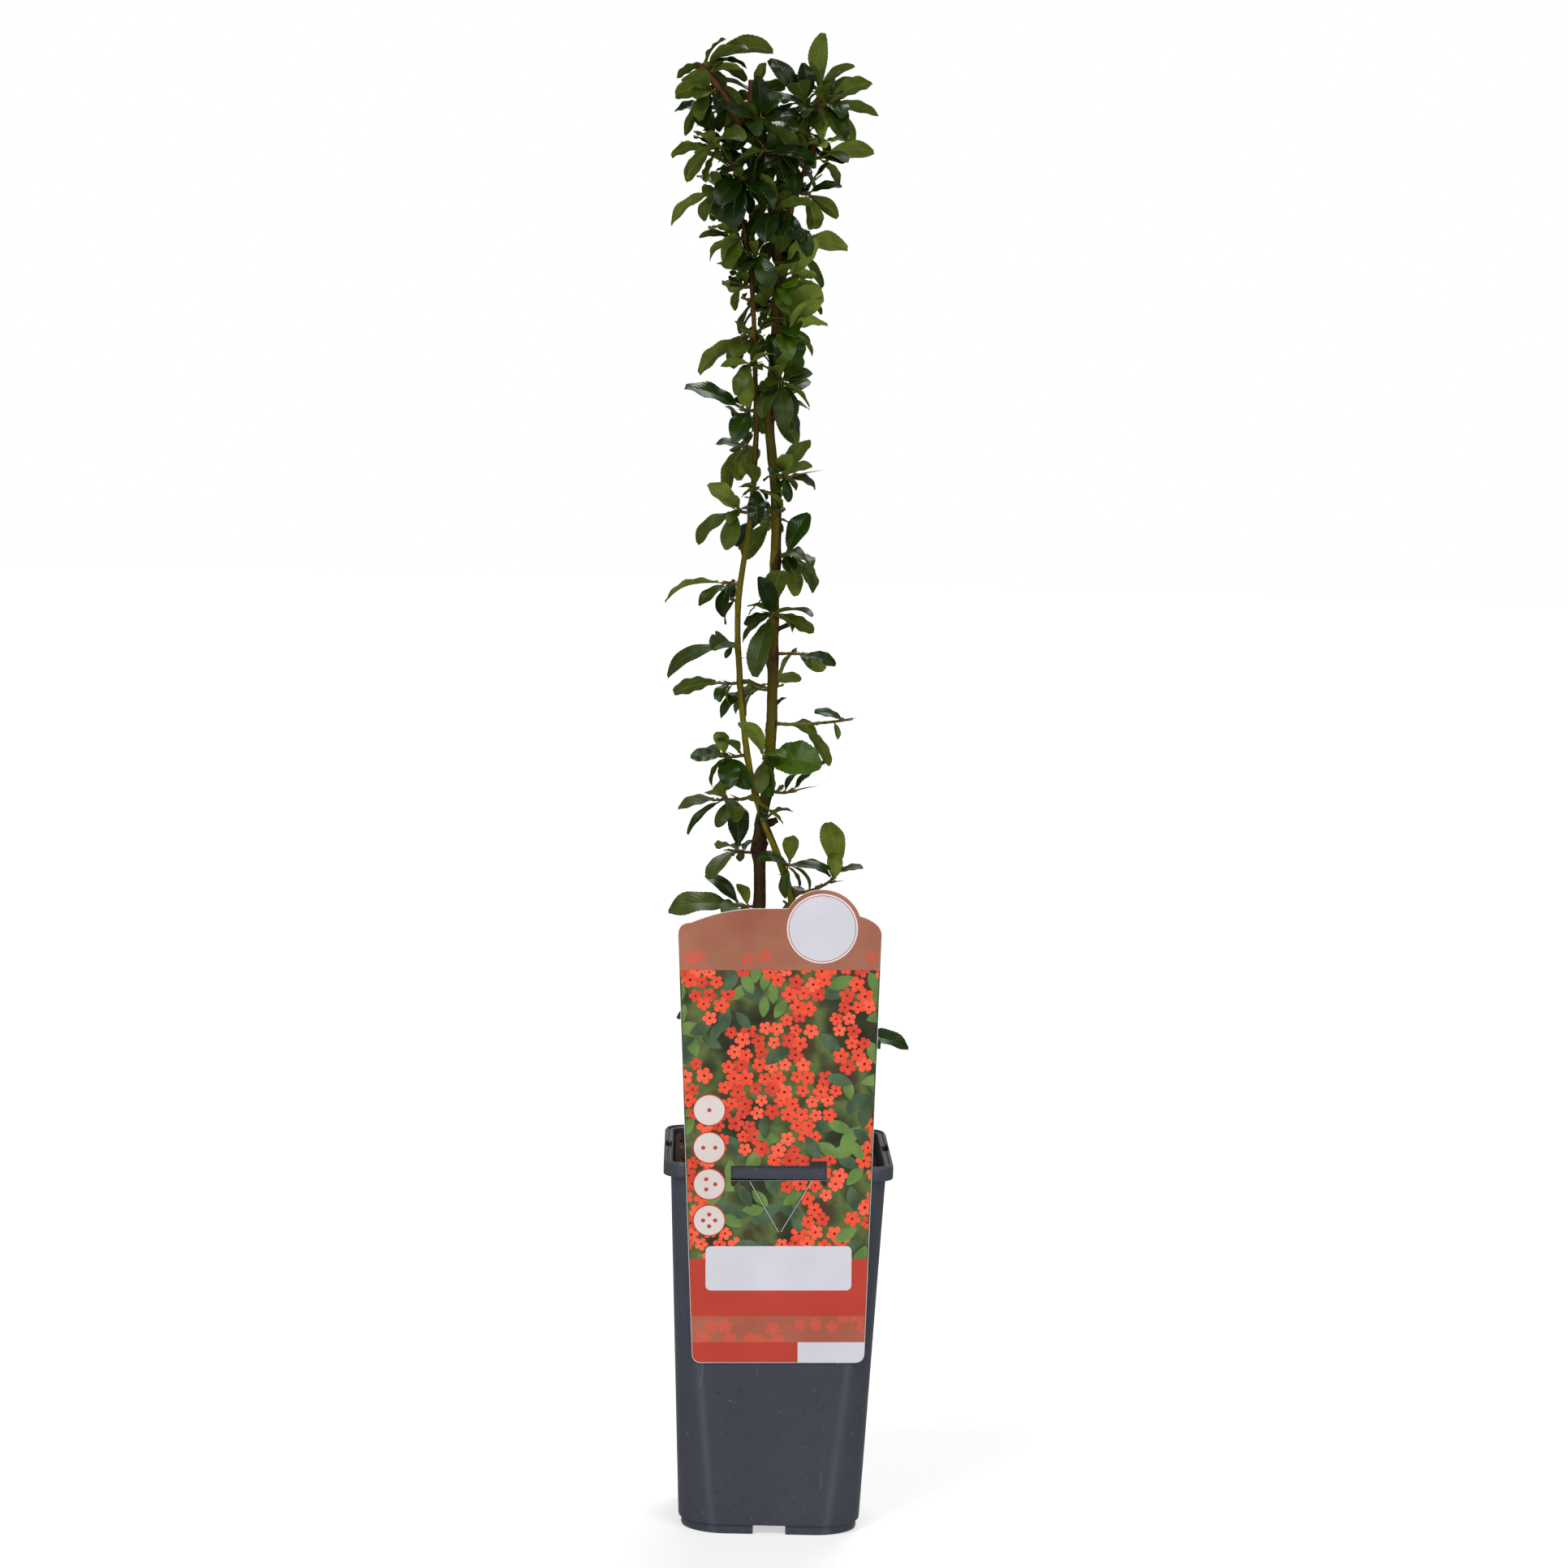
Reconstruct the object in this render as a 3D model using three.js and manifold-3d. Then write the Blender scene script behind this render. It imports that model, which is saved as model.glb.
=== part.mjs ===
// A young firethorn shrub, grown as a slim column in a deep square nursery pot, with its plant label.
// Millimetres, +Z up. The label faces -Y and the origin is on the ground, under the middle of the pot.

import * as THREE from "three";
import { mergeVertices } from "three/addons/utils/BufferGeometryUtils.js";
import Module from "manifold-3d";

const wasm = await Module();
wasm.setup();

// ---------------------------------------------------------------- driving dimensions

const CLEAR = 0.3; // gap between pieces that touch
const SEAT = 0.05; // added to that gap where a piece lies on a slanted or faceted one
const SKIN = 0.01; // keeps a cutting tool's face off the face that it meets
const WELD = 1e-4; // corners nearer than this become one

const POT = {
  height: 216,
  rimHalf: 65, // half the width over the rim band
  rimBand: 8.5, // height of the rim band
  rimEdge: 1, // rounding of the band's lower edge
  rimWall: 5, // width of the rim's top
  rimRadius: 13, // corner radius at the rim
  neckHalf: 60.75, // half the width just under the rim
  neckRadius: 9,
  baseHalf: 51.9, // half the width just above the foot
  baseRadius: 24,
  wall: 1.5,
  footHalf: 50.2,
  footHeight: 5.5,
  footWall: 3.2,
  floor: 2.2,
  notch: 18.5, // width of the gap in the foot on each side
  slotWidth: 20, // slot in the top of the rim, on each side
  slotDepth: 1.6,
  drainRadius: 5,
  drainPlace: 27,
  drainSides: 10,
};
// The rim's section from its lower edge, over the raised lip on its top, to its inner edge: the inset from
// the rim's outer face, and the depth below its top.
const RIM_SECTION = [
  [0.6, POT.rimBand],
  [0, POT.rimBand - POT.rimEdge],
  [0, 1.2],
  [0.9, 0],
  [1.9, 0],
  [2.3, 1],
  [POT.rimWall, 1],
  [POT.rimWall + 0.6, 4],
];
const RIM_ROOT = 2; // how far under the band the wall's inside starts
const FOOT_STEP = 0.6; // half the height of the step from the wall in to the foot
const CORNER_STEPS = 5;

const COMPOST = {
  top: 204,
  edgeDrop: 1.5, // the surface falls this much at its edge
  edgeWidth: 6,
};

const LABEL = {
  thickness: 0.9,
  topHalf: 56.8, // half the width at the shoulders
  bottomHalf: 48.9,
  side: 137, // where the sides end: heights are measured from the middle of the window
  shoulder: 144, // where the shoulders' rounding ends, this far in from the sides
  shoulderRun: 7,
  crest: 152, // the top edge's height beside the bump
  crestX: -12,
  bottom: -110.8,
  corner: 6,
  bumpX: 23.6, // the round bump in the top edge
  bumpHeight: 140.6,
  bumpRadius: 22.2,
  bumpArc: [19, 149], // degrees
  windowHalf: 27,
  windowLow: -4.2,
  windowHigh: 4.4,
  turn: 1.3, // degrees that the card hangs out of true
  curveSteps: 7,
};

// Limbs: the route, and the radius at its foot and tip.
const LIMBS = {
  stem_main: {
    route: [
      [-9, 3, 204],
      [-12.5, 3, 260],
      [-14.5, 2.5, 320],
      [-13.6, 3, 358],
      [-14.6, 3.6, 395],
      [-11, 3, 423],
      [-9.4, 2, 465],
      [-9.7, 1, 530],
      [-10, 0, 585],
      [-15, 0, 632],
      [-13.3, 1, 674],
      [-11.8, 2, 724],
      [-15, 3, 752],
      [-23, 3, 780],
      [-29, 2, 804],
      [-30, 1.5, 824],
    ],
    radii: [3.9, 1.9],
  },
  stem_second: {
    route: [
      [9, -3, 204],
      [14, -4, 262],
      [13, -4, 318],
      [5, -4.5, 358],
      [-4.5, -5, 386],
      [-14.2, -4.8, 409],
      [-22.7, -3.5, 441],
      [-28.6, -2, 490],
      [-30, -1, 530],
      [-24.3, -1, 580],
      [-22.4, -2, 626],
      [-24.1, -3, 664],
      [-27.2, -3, 714],
      [-33.6, -4, 747],
      [-38, -5, 772],
      [-40, -5, 788],
    ],
    radii: [2.4, 1],
  },
  bough_top_left: {
    carrier: "stem_main",
    height: 797,
    route: [
      [-36, -1, 800],
      [-43, -2, 811],
      [-51, -2, 822],
      [-59, -1, 831],
    ],
    radii: [2, 1.7],
  },
  bough_top_middle: {
    carrier: "stem_main",
    height: 762,
    route: [
      [-11, 7, 767],
      [-5, 9, 783],
      [3, 7, 800],
      [11, 3.5, 820],
    ],
    radii: [1.6, 1.1],
  },
  bough_top_right: {
    carrier: "stem_main",
    height: 737,
    route: [
      [-8, -3, 741],
      [-5, -5, 755],
      [-1.5, -5, 768],
      [3.7, -4, 780],
      [7, -3, 791],
    ],
    radii: [1.7, 1.1],
  },
};
const STEM_SIDES = 8;
const BOUGH_SIDES = 6;
const LIMB_STEP = 18; // length of one faceted stretch of a limb
const LIMB_LEAST = 4; // stretches of the shortest limb

// Pruned side shoots left on the main stem: height, heading, length, radius.
const STUBS = [
  { height: 400, heading: 5, length: 7, radius: 1.9 },
  { height: 513, heading: -8, length: 10, radius: 1.1 },
  { height: 634, heading: -20, length: 9, radius: 1.5 },
];
const STUB_PITCH = 25;
const STUB_TAPER = 1.2;

// Headings are degrees in plan: 0 is +X, 90 is +Y, -90 is the label's side. Each spur is a short shoot
// on a limb, at a height, with a twig of a length that ends climbing at rise degrees. Its leading leaves
// are [heading, pitch, length, breadth, face], and the rest of its leaves follow the spiral rule. Face is
// how far a leaf's upper side turns to the back: UPPER shows it to the label's side, FRONT faces that side,
// and UNDER hides it.
const UPPER = -0.6;
const FRONT = -2;
const UNDER = 0.5;
const SPURS = [
  { on: "bough_top_left", z: 829, to: 60, twig: 11, rise: 75, leaves: 4, seed: 74,
    leads: [[4, 14, 37, 1.2, UNDER], [186, -22, 21, 1, UNDER]] },
  { on: "bough_top_left", z: 819, to: 196, twig: 4, rise: 5, leaves: 5, seed: 12,
    leads: [[184, -4, 20, 1.8, UNDER], [205, -58, 30, 1.1, UNDER]] },
  { on: "bough_top_left", z: 812, to: 152, twig: 12, rise: 5, leaves: 6, seed: 13,
    leads: [[172, -3, 20, 1.1, UPPER]] },
  { on: "stem_main", z: 816, to: 80, twig: 7, rise: 30, leaves: 4, seed: 14,
    leads: [[15, 12, 19, 1.6, UNDER]] },
  { on: "stem_main", z: 801, to: -62, twig: 8, rise: 15, leaves: 7, seed: 15,
    leads: [[-48, -12, 30, 1.05, UPPER], [-130, -40, 28, 1, UPPER]] },
  { on: "stem_second", z: 786, to: 184, twig: 14, rise: -8, leaves: 5, seed: 16,
    leads: [[186, -12, 22, 1.2, UNDER], [190, -50, 24, 1.2, UNDER]] },
  { on: "stem_second", z: 762, to: 178, twig: 11, rise: 0, leaves: 4, seed: 17,
    leads: [[182, -34, 33, 1.05, UNDER], [165, 14, 16, 0.9, UPPER]] },
  { on: "stem_second", z: 768, to: -58, twig: 5, rise: 0, leaves: 5, seed: 18,
    leads: [[-48, -30, 31, 1.1, UPPER], [-110, -66, 32, 1.15, UPPER]] },
  { on: "bough_top_middle", z: 817, to: 100, twig: 6, rise: 60, leaves: 4, seed: 19,
    leads: [[100, 80, 33, 0.9, UNDER], [8, 44, 25, 0.9, UNDER]] },
  { on: "bough_top_middle", z: 812, to: -16, twig: 5, rise: 20, leaves: 6, seed: 20,
    leads: [[-8, 32, 29, 1.2, UNDER], [6, 0, 31, 0.9, UNDER]] },
  { on: "bough_top_middle", z: 808, to: 176, twig: 6, rise: 45, leaves: 6, seed: 21,
    leads: [[176, 54, 33, 0.85, UPPER], [190, 12, 22, 1.1, UPPER]] },
  { on: "bough_top_middle", z: 782, to: 95, twig: 22, rise: 15, leaves: 8, seed: 22,
    leads: [[80, 5, 33, 1, UNDER]] },
  { on: "bough_top_right", z: 789, to: -30, twig: 5, rise: 60, leaves: 6, seed: 23, fresh: true,
    leads: [[95, 60, 17, 1.2, UPPER], [165, 52, 14, 1.2, UNDER]] },
  { on: "bough_top_right", z: 782, to: -12, twig: 5, rise: 10, leaves: 4, seed: 24,
    leads: [[-6, 12, 31, 1.1, UNDER], [-20, -62, 16, 1.3, UPPER]] },
  { on: "bough_top_right", z: 762, to: -6, twig: 5, rise: 10, leaves: 3, seed: 25,
    leads: [[2, 16, 21, 0.9, UPPER], [-16, -26, 23, 1.1, UNDER]] },
  { on: "stem_main", z: 782, to: -75, twig: 15, rise: 15, leaves: 8, seed: 66,
    leads: [[-30, -5, 31, 1.1, UPPER], [-150, 10, 28, 1, UNDER]] },
  { on: "stem_main", z: 750, to: -95, twig: 12, rise: 10, leaves: 8, seed: 26,
    leads: [[-100, -35, 33, 1.1, UPPER]] },
  { on: "stem_main", z: 766, to: 120, twig: 16, rise: 10, leaves: 8, seed: 27,
    leads: [[125, -5, 34, 1, UNDER]] },
  { on: "stem_second", z: 735, to: 186, twig: 5, rise: 0, leaves: 4, seed: 28,
    leads: [[184, 8, 21, 0.9, UPPER], [192, -32, 20, 1.4, UNDER]] },
  { on: "stem_main", z: 729, to: -4, twig: 7, rise: 60, leaves: 2, seed: 29,
    leads: [[-2, 4, 31, 1.3, UNDER], [35, -45, 31, 1, UPPER]] },
  { on: "stem_main", z: 712, to: -35, twig: 6, rise: 15, leaves: 3, seed: 30,
    leads: [[-28, 60, 28, 1.6, UNDER], [-12, 18, 17, 1.5, UNDER]] },
  { on: "stem_second", z: 708, to: 168, twig: 6, rise: 0, leaves: 2, seed: 31,
    leads: [[200, -76, 14, 1.5, UNDER]] },
  { on: "stem_main", z: 700, to: 96, twig: 18, rise: 10, leaves: 8, seed: 32,
    leads: [[88, -15, 33, 1, UNDER]] },
  { on: "stem_main", z: 683, to: -22, twig: 6, rise: 5, leaves: 3, seed: 33,
    leads: [[-24, 56, 32, 1.5, UNDER], [0, 18, 24, 1.8, UNDER]] },
  { on: "stem_second", z: 680, to: 190, twig: 4, rise: 5, leaves: 4, seed: 34,
    leads: [[186, -38, 34, 1.25, UNDER], [220, -72, 26, 1.3, UNDER]] },
  { on: "stem_main", z: 655, to: -53, twig: 8, rise: 20, leaves: 5, seed: 35,
    leads: [[-20, 30, 15, 1.5, UPPER], [-80, -60, 30, 1, UPPER]] },
  { on: "stem_second", z: 664, to: -108, twig: 9, rise: 10, leaves: 6, seed: 67,
    leads: [[-170, 0, 18, 1.4, UNDER], [-120, -74, 25, 1.2, UNDER]] },
  { on: "stem_main", z: 645, to: 60, twig: 10, rise: 0, leaves: 6, seed: 36,
    leads: [[22, -14, 20, 1.4, UPPER], [100, -10, 30, 1, UNDER]] },
  { on: "stem_second", z: 638, to: 178, twig: 6, rise: 10, leaves: 4, seed: 37,
    leads: [[178, 22, 36, 1.15, UPPER], [196, -20, 15, 1.8, UNDER]] },
  { on: "stem_second", z: 617, to: 160, twig: 5, rise: 0, leaves: 3, seed: 38,
    leads: [[172, 8, 17, 1.4, UPPER]] },
  { on: "stem_main", z: 600, to: -34, twig: 6, rise: 5, leaves: 1, seed: 39, thorn: 24,
    leads: [[196, 4, 15, 1.3, UNDER], [-60, -70, 15, 1, UPPER]] },
  { on: "stem_second", z: 580, to: 196, twig: 7, rise: 10, leaves: 3, seed: 40,
    leads: [[190, 42, 23, 1.6, UNDER], [182, -33, 30, 1.05, UPPER]] },
  { on: "stem_main", z: 576, to: 92, twig: 14, rise: 10, leaves: 6, seed: 41,
    leads: [[96, -12, 32, 1, UNDER]] },
  { on: "stem_main", z: 556, to: -8, twig: 4, rise: 10, leaves: 2, seed: 42,
    leads: [[-4, 70, 28, 1.25, UPPER], [-22, -72, 24, 1.1, UNDER]] },
  { on: "stem_second", z: 539, to: 178, twig: 8, rise: 0, leaves: 2, seed: 43,
    leads: [[179, -13, 36, 1, UNDER], [190, -30, 21, 1.2, UPPER]] },
  { on: "stem_main", z: 523, to: -100, twig: 6, rise: 0, leaves: 3, seed: 44,
    leads: [[-118, -58, 40, 0.85, UPPER], [-150, -10, 22, 1.1, UPPER]] },
  { on: "stem_second", z: 504, to: 182, twig: 8, rise: 5, leaves: 1, seed: 45,
    leads: [[180, -26, 37, 0.9, UPPER], [168, 60, 10, 1, UPPER]] },
  { on: "stem_main", z: 500, to: 10, twig: 15, rise: 0, leaves: 1, seed: 46,
    leads: [[12, -16, 21, 1.2, UPPER], [-40, -20, 13, 0.8, UPPER]] },
  { on: "stem_second", z: 483, to: 176, twig: 10, rise: 5, leaves: 2, seed: 47,
    leads: [[180, -14, 28, 1.6, UNDER]] },
  { on: "stem_main", z: 478, to: 96, twig: 24, rise: 10, leaves: 5, seed: 48,
    leads: [[104, -14, 33, 1, UNDER]] },
  { on: "stem_main", z: 460, to: -10, twig: 43, rise: 12, leaves: 2, seed: 49, thorn: 8,
    leads: [[176, 14, 18, 1.1, UPPER]] },
  { on: "stem_second", z: 442, to: 180, twig: 13, rise: 0, leaves: 3, seed: 50,
    leads: [[180, -2, 19, 1.4, UPPER], [205, -60, 20, 0.9, UNDER]] },
  { on: "stem_main", z: 440, to: -110, twig: 6, rise: 10, leaves: 3, seed: 51,
    leads: [[-35, 0, 38, 1.5, FRONT], [-100, -50, 24, 1, UPPER]] },
  { on: "stem_main", z: 421, to: 2, twig: 12, rise: 12, leaves: 1, seed: 52, thorn: 17,
    leads: [[70, 10, 20, 1, UNDER]] },
  { on: "stem_second", z: 419, to: 186, twig: 22, rise: -6, leaves: 2, seed: 53,
    leads: [[182, -10, 24, 1.5, UPPER], [190, -34, 30, 0.6, UPPER]] },
  { on: "stem_main", z: 385, to: 140, twig: 14, rise: 0, leaves: 4, seed: 54,
    leads: [[110, -5, 32, 1, UNDER]] },
  { on: "stem_second", z: 379, to: -60, twig: 8, rise: 5, leaves: 2, seed: 55,
    leads: [[190, 24, 20, 1.4, UPPER], [-14, -4, 25, 1, UPPER]] },
  { on: "stem_second", z: 362, to: -4, twig: 32, rise: 58, leaves: 1, seed: 56,
    leads: [[4, 12, 15, 1.2, UPPER], [160, 32, 19, 1, UPPER]] },
  { on: "stem_main", z: 354, to: 188, twig: 10, rise: 5, leaves: 4, seed: 57,
    leads: [[184, -2, 40, 1.25, UPPER], [172, 44, 27, 1, UPPER]] },
  { on: "stem_second", z: 280, to: 12, twig: 26, rise: 0, leaves: 6, seed: 58,
    leads: [[2, -8, 36, 1, UPPER]] },
  { on: "stem_main", z: 285, to: 150, twig: 20, rise: 10, leaves: 6, seed: 59,
    leads: [[140, 0, 34, 1, UNDER]] },
  { on: "stem_main", z: 318, to: 84, twig: 42, rise: 10, leaves: 7, seed: 60,
    leads: [[85, -10, 34, 1, UNDER]] },
];

// The crown's space, from low to high: a height, how far leaves' tips may reach at it to the left and to
// the right, and to the front and back. The leading leaves make the outline and may stand out of it.
const REACH = [
  [260, -62, 62, 80],
  [350, -58, 42, 60],
  [440, -50, 32, 42],
  [520, -46, 22, 38],
  [600, -38, 16, 36],
  [700, -38, 18, 42],
  [760, -66, 26, 54],
  [800, -70, 36, 60],
  [835, -66, 34, 50],
  [850, -50, 14, 30],
];

const SPIRAL = 137.5; // degrees from leaf to leaf round a twig
const TWIG_RADIUS = 1.2;
const TWIG_TIP_RADIUS = 0.9;
const TWIG_STEP = 7;
const TWIG_SIDES = 3;
const SIDE_TWIG_SPACING = 12; // a twig longer than this forks once for each such length
const FORK_TURN = [50, 70]; // degrees from its twig
const FORK_LENGTH = [7, 12];
const FORK_RISE = 20;
const FORK_THICKNESS = 0.85;
const WANDER = 12; // degrees that a twig turns to either side from one step to the next
const THORN_RADIUS = 0.7;
const THORN_LENGTH = [7.2, 10.8];
const THORN_TURN = 55; // degrees from its twig
const THORN_PITCH = 12;
const THORN_PLACE = { end: 0.9, side: 0.35 }; // where on its twig a thorn stands
const THORN_SKEW = 6; // degrees that a thorn at a twig's end stands off its heading
const LEAF = {
  slimness: 0.2, // half the width over the length
  keel: 0.95, // depth of the folded blade
  root: 0.35, // half the width of its foot, in the middle of the twig
  rootKeel: 0.5,
  gap: 2.4, // clear space kept over and under a blade
  margin: 1.6, // and past its edge
};
const STEEP = 0.25; // a leaf that points this nearly at the light turns its upper side to the back or front
const LIGHT = { x: -0.12, z: 0.86 }; // where upper sides turn to, besides the back
const LEAD = { arch: [24, 58], roll: [-15, 15], foot: 0.9, spacing: 0.15, turns: [0, 12, -12] };
const GROWN = {
  length: [20.4, 32.4],
  breadth: [0.9, 1.3],
  arch: [20, 60],
  roll: [-30, 30],
  forward: [0.3, 0.9], // how far a leaf leans along its twig
  droop: 0.12,
  turn: [0, 40], // degrees added to the spiral
  foot: 0.92, // where on the twig the first one stands
  spread: 0.7, // how far back the others stand
  freshSize: 0.55,
};
const PETIOLE = 0.12; // share of a leaf's length that is its stalk
const WIDEST = 0.58; // where the rest is widest, as a share of it
const STALK = 0.06; // the stalk's width over the blade's
const FULLNESS = 0.68; // under 1 rounds the outline out
const ARRIS = 0.45; // share of the keel's depth that its edges stand above the blade's middle surface
const SPOTS_ALONG = [0.3, 0.45, 0.6, 0.75, 0.88, 1]; // where a blade is tested, as shares of its length
const SPOTS_ACROSS = [-1, -0.5, 0, 0.5, 1]; // and of its half width
const LIMB_ROOM = 1; // clear space between a blade and a limb's bark
const TWIG_ROOM = 2.4; // distance from a blade to the middle of another spur's twig or thorn
const OWN_ROOM = 1.6; // and of its own spur's
const TRIES = 5; // places a leaf is tried in, round its twig, before it is skipped

const SURFACE = {
  pot: { color: 0x45484f, roughness: 0.55 },
  compost: { color: 0x31201a, roughness: 1 },
  label: { color: 0xc98a66, roughness: 0.4 },
  bark: { color: 0x4d4418, roughness: 0.6 },
  reddish: { color: 0x4a2a1c, roughness: 0.6 },
  leaf: { color: 0x33511c, roughness: 0.35 },
  fresh: { color: 0x5f8a1e, roughness: 0.35 },
};

// ---------------------------------------------------------------- solids

const radians = THREE.MathUtils.degToRad;

// A closed geometry through rings of points. A ring of one point closes its end to that point, and any
// other end ring is closed by a flat fan.
function loft(rings) {
  const position = [];
  const index = [];
  const starts = rings.map((ring) => {
    const start = position.length / 3;
    ring.forEach((p) => position.push(p.x, p.y, p.z));
    return start;
  });
  const count = Math.max(...rings.map((ring) => ring.length));
  rings.slice(1).forEach((ring, k) => {
    const [a, b] = [starts[k], starts[k + 1]];
    for (let i = 0; i < count; i++) {
      const j = (i + 1) % count;
      if (rings[k].length === 1) index.push(a, b + j, b + i);
      else if (ring.length === 1) index.push(a + i, a + j, b);
      else index.push(a + i, a + j, b + j, a + i, b + j, b + i);
    }
  });
  const cap = (ring, start, flip) => {
    if (ring.length === 1) return;
    if (ring.length === 3) {
      index.push(...(flip ? [start, start + 2, start + 1] : [start, start + 1, start + 2]));
      return;
    }
    const middle = ring.reduce((sum, p) => sum.add(p), new THREE.Vector3()).divideScalar(ring.length);
    const hub = position.length / 3;
    position.push(middle.x, middle.y, middle.z);
    ring.forEach((_, i) => {
      const j = (i + 1) % ring.length;
      index.push(...(flip ? [start + j, start + i, hub] : [start + i, start + j, hub]));
    });
  };
  cap(rings[0], starts[0], true);
  cap(rings[rings.length - 1], starts[rings.length - 1], false);
  const geometry = new THREE.BufferGeometry();
  geometry.setAttribute("position", new THREE.Float32BufferAttribute(position, 3));
  geometry.setIndex(index);
  return geometry;
}

function toSolid(geometry) {
  const bare = geometry.clone();
  bare.deleteAttribute("normal");
  bare.deleteAttribute("uv");
  const merged = mergeVertices(bare, WELD);
  return new wasm.Manifold(
    new wasm.Mesh({
      numProp: 3,
      vertProperties: new Float32Array(merged.attributes.position.array),
      triVerts: new Uint32Array(merged.index.array),
    }),
  );
}

function toGeometry(solid) {
  const mesh = solid.getMesh();
  const geometry = new THREE.BufferGeometry();
  geometry.setAttribute("position", new THREE.BufferAttribute(mesh.vertProperties, 3));
  geometry.setIndex(new THREE.BufferAttribute(mesh.triVerts, 1));
  return geometry;
}

const joined = (geometries) => toGeometry(geometries.map(toSolid).reduce((a, b) => a.add(b)));

const cut = (geometry, tools) =>
  toGeometry(tools.map(toSolid).reduce((body, tool) => body.subtract(tool), toSolid(geometry)));

// Rings of a round limb through points, with a radius at each, kept from twisting. The first ring can
// face its own way, so that the limb's foot lies flat on what carries it.
function limbRings(points, radii, sides, facing = null) {
  let across = new THREE.Vector3(0, 0, 0);
  return points.map((p, i) => {
    const before = points[Math.max(i - 1, 0)];
    const after = points[Math.min(i + 1, points.length - 1)];
    const along = after.clone().sub(before).normalize();
    if (i === 0 && facing) along.copy(facing);
    if (i === 0) across.set(Math.abs(along.x) < 0.9 ? 1 : 0, Math.abs(along.x) < 0.9 ? 0 : 1, 0);
    across = across.clone().addScaledVector(along, -across.dot(along)).normalize();
    const third = along.clone().cross(across);
    return Array.from({ length: sides }, (_, k) => {
      const angle = (2 * Math.PI * k) / sides;
      return p.clone()
        .addScaledVector(across, radii[i] * Math.cos(angle))
        .addScaledVector(third, radii[i] * Math.sin(angle));
    });
  });
}

// ---------------------------------------------------------------- pot, compost and label

function roundedSquare(half, radius, z) {
  const ring = [];
  for (let corner = 0; corner < 4; corner++) {
    const turn = (corner * Math.PI) / 2;
    for (let k = 0; k <= CORNER_STEPS; k++) {
      const angle = (k / CORNER_STEPS) * (Math.PI / 2);
      const x = half - radius + radius * Math.cos(angle);
      const y = half - radius + radius * Math.sin(angle);
      ring.push(new THREE.Vector3(
        x * Math.cos(turn) - y * Math.sin(turn), x * Math.sin(turn) + y * Math.cos(turn), z));
    }
  }
  return ring;
}

// Half width and corner radius of the pot's outer wall at a height.
function wallAt(z) {
  const share = (z - POT.footHeight) / (POT.height - POT.rimBand - POT.footHeight);
  return {
    half: THREE.MathUtils.lerp(POT.baseHalf, POT.neckHalf, share),
    radius: THREE.MathUtils.lerp(POT.baseRadius, POT.neckRadius, share),
  };
}

// Ring of the pot's inner wall, drawn in further by an inset.
function innerRing(z, inset = 0) {
  const { half, radius } = wallAt(z);
  return roundedSquare(half - POT.wall - inset, radius - POT.wall - inset, z);
}

const box = (sx, sy, sz, x, y, z) => new THREE.BoxGeometry(sx, sy, sz).translate(x, y, z);

function potGeometry() {
  const { height, rimHalf, rimBand, rimRadius, baseRadius, footHalf, footHeight, footWall } = POT;
  const under = height - rimBand;
  const neck = wallAt(under);
  const shell = loft([
    roundedSquare(footHalf - footWall, baseRadius - footWall, footHeight),
    roundedSquare(footHalf - footWall, baseRadius - footWall, 0),
    roundedSquare(footHalf, baseRadius, 0),
    roundedSquare(footHalf, baseRadius, footHeight - FOOT_STEP),
    roundedSquare(POT.baseHalf, baseRadius, footHeight + FOOT_STEP),
    roundedSquare(neck.half, neck.radius, under),
    ...RIM_SECTION.map(([inset, drop]) => roundedSquare(rimHalf - inset, rimRadius - inset, height - drop)),
    innerRing(under - RIM_ROOT),
    innerRing(footHeight + POT.floor),
  ]);
  const span = 3 * rimHalf;
  const notches = [
    box(span, POT.notch, 2 * footHeight, 0, 0, -SKIN),
    box(POT.notch, span, 2 * footHeight, 0, 0, -SKIN),
  ];
  const slots = [
    box(span, POT.slotWidth, 2 * POT.slotDepth, 0, 0, height),
    box(POT.slotWidth, span, 2 * POT.slotDepth, 0, 0, height),
  ];
  const drains = [[1, 1], [1, -1], [-1, 1], [-1, -1]].map(([x, y]) =>
    new THREE.CylinderGeometry(POT.drainRadius, POT.drainRadius, 4 * POT.floor, POT.drainSides)
      .rotateX(Math.PI / 2)
      .translate(x * POT.drainPlace, y * POT.drainPlace, footHeight + POT.floor / 2));
  return cut(shell, [...notches, ...slots, ...drains]);
}

function compostGeometry() {
  const low = POT.footHeight + POT.floor + CLEAR;
  return loft([
    innerRing(low, CLEAR),
    innerRing(COMPOST.top - COMPOST.edgeDrop, CLEAR),
    innerRing(COMPOST.top, COMPOST.edgeWidth),
  ]);
}

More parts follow.
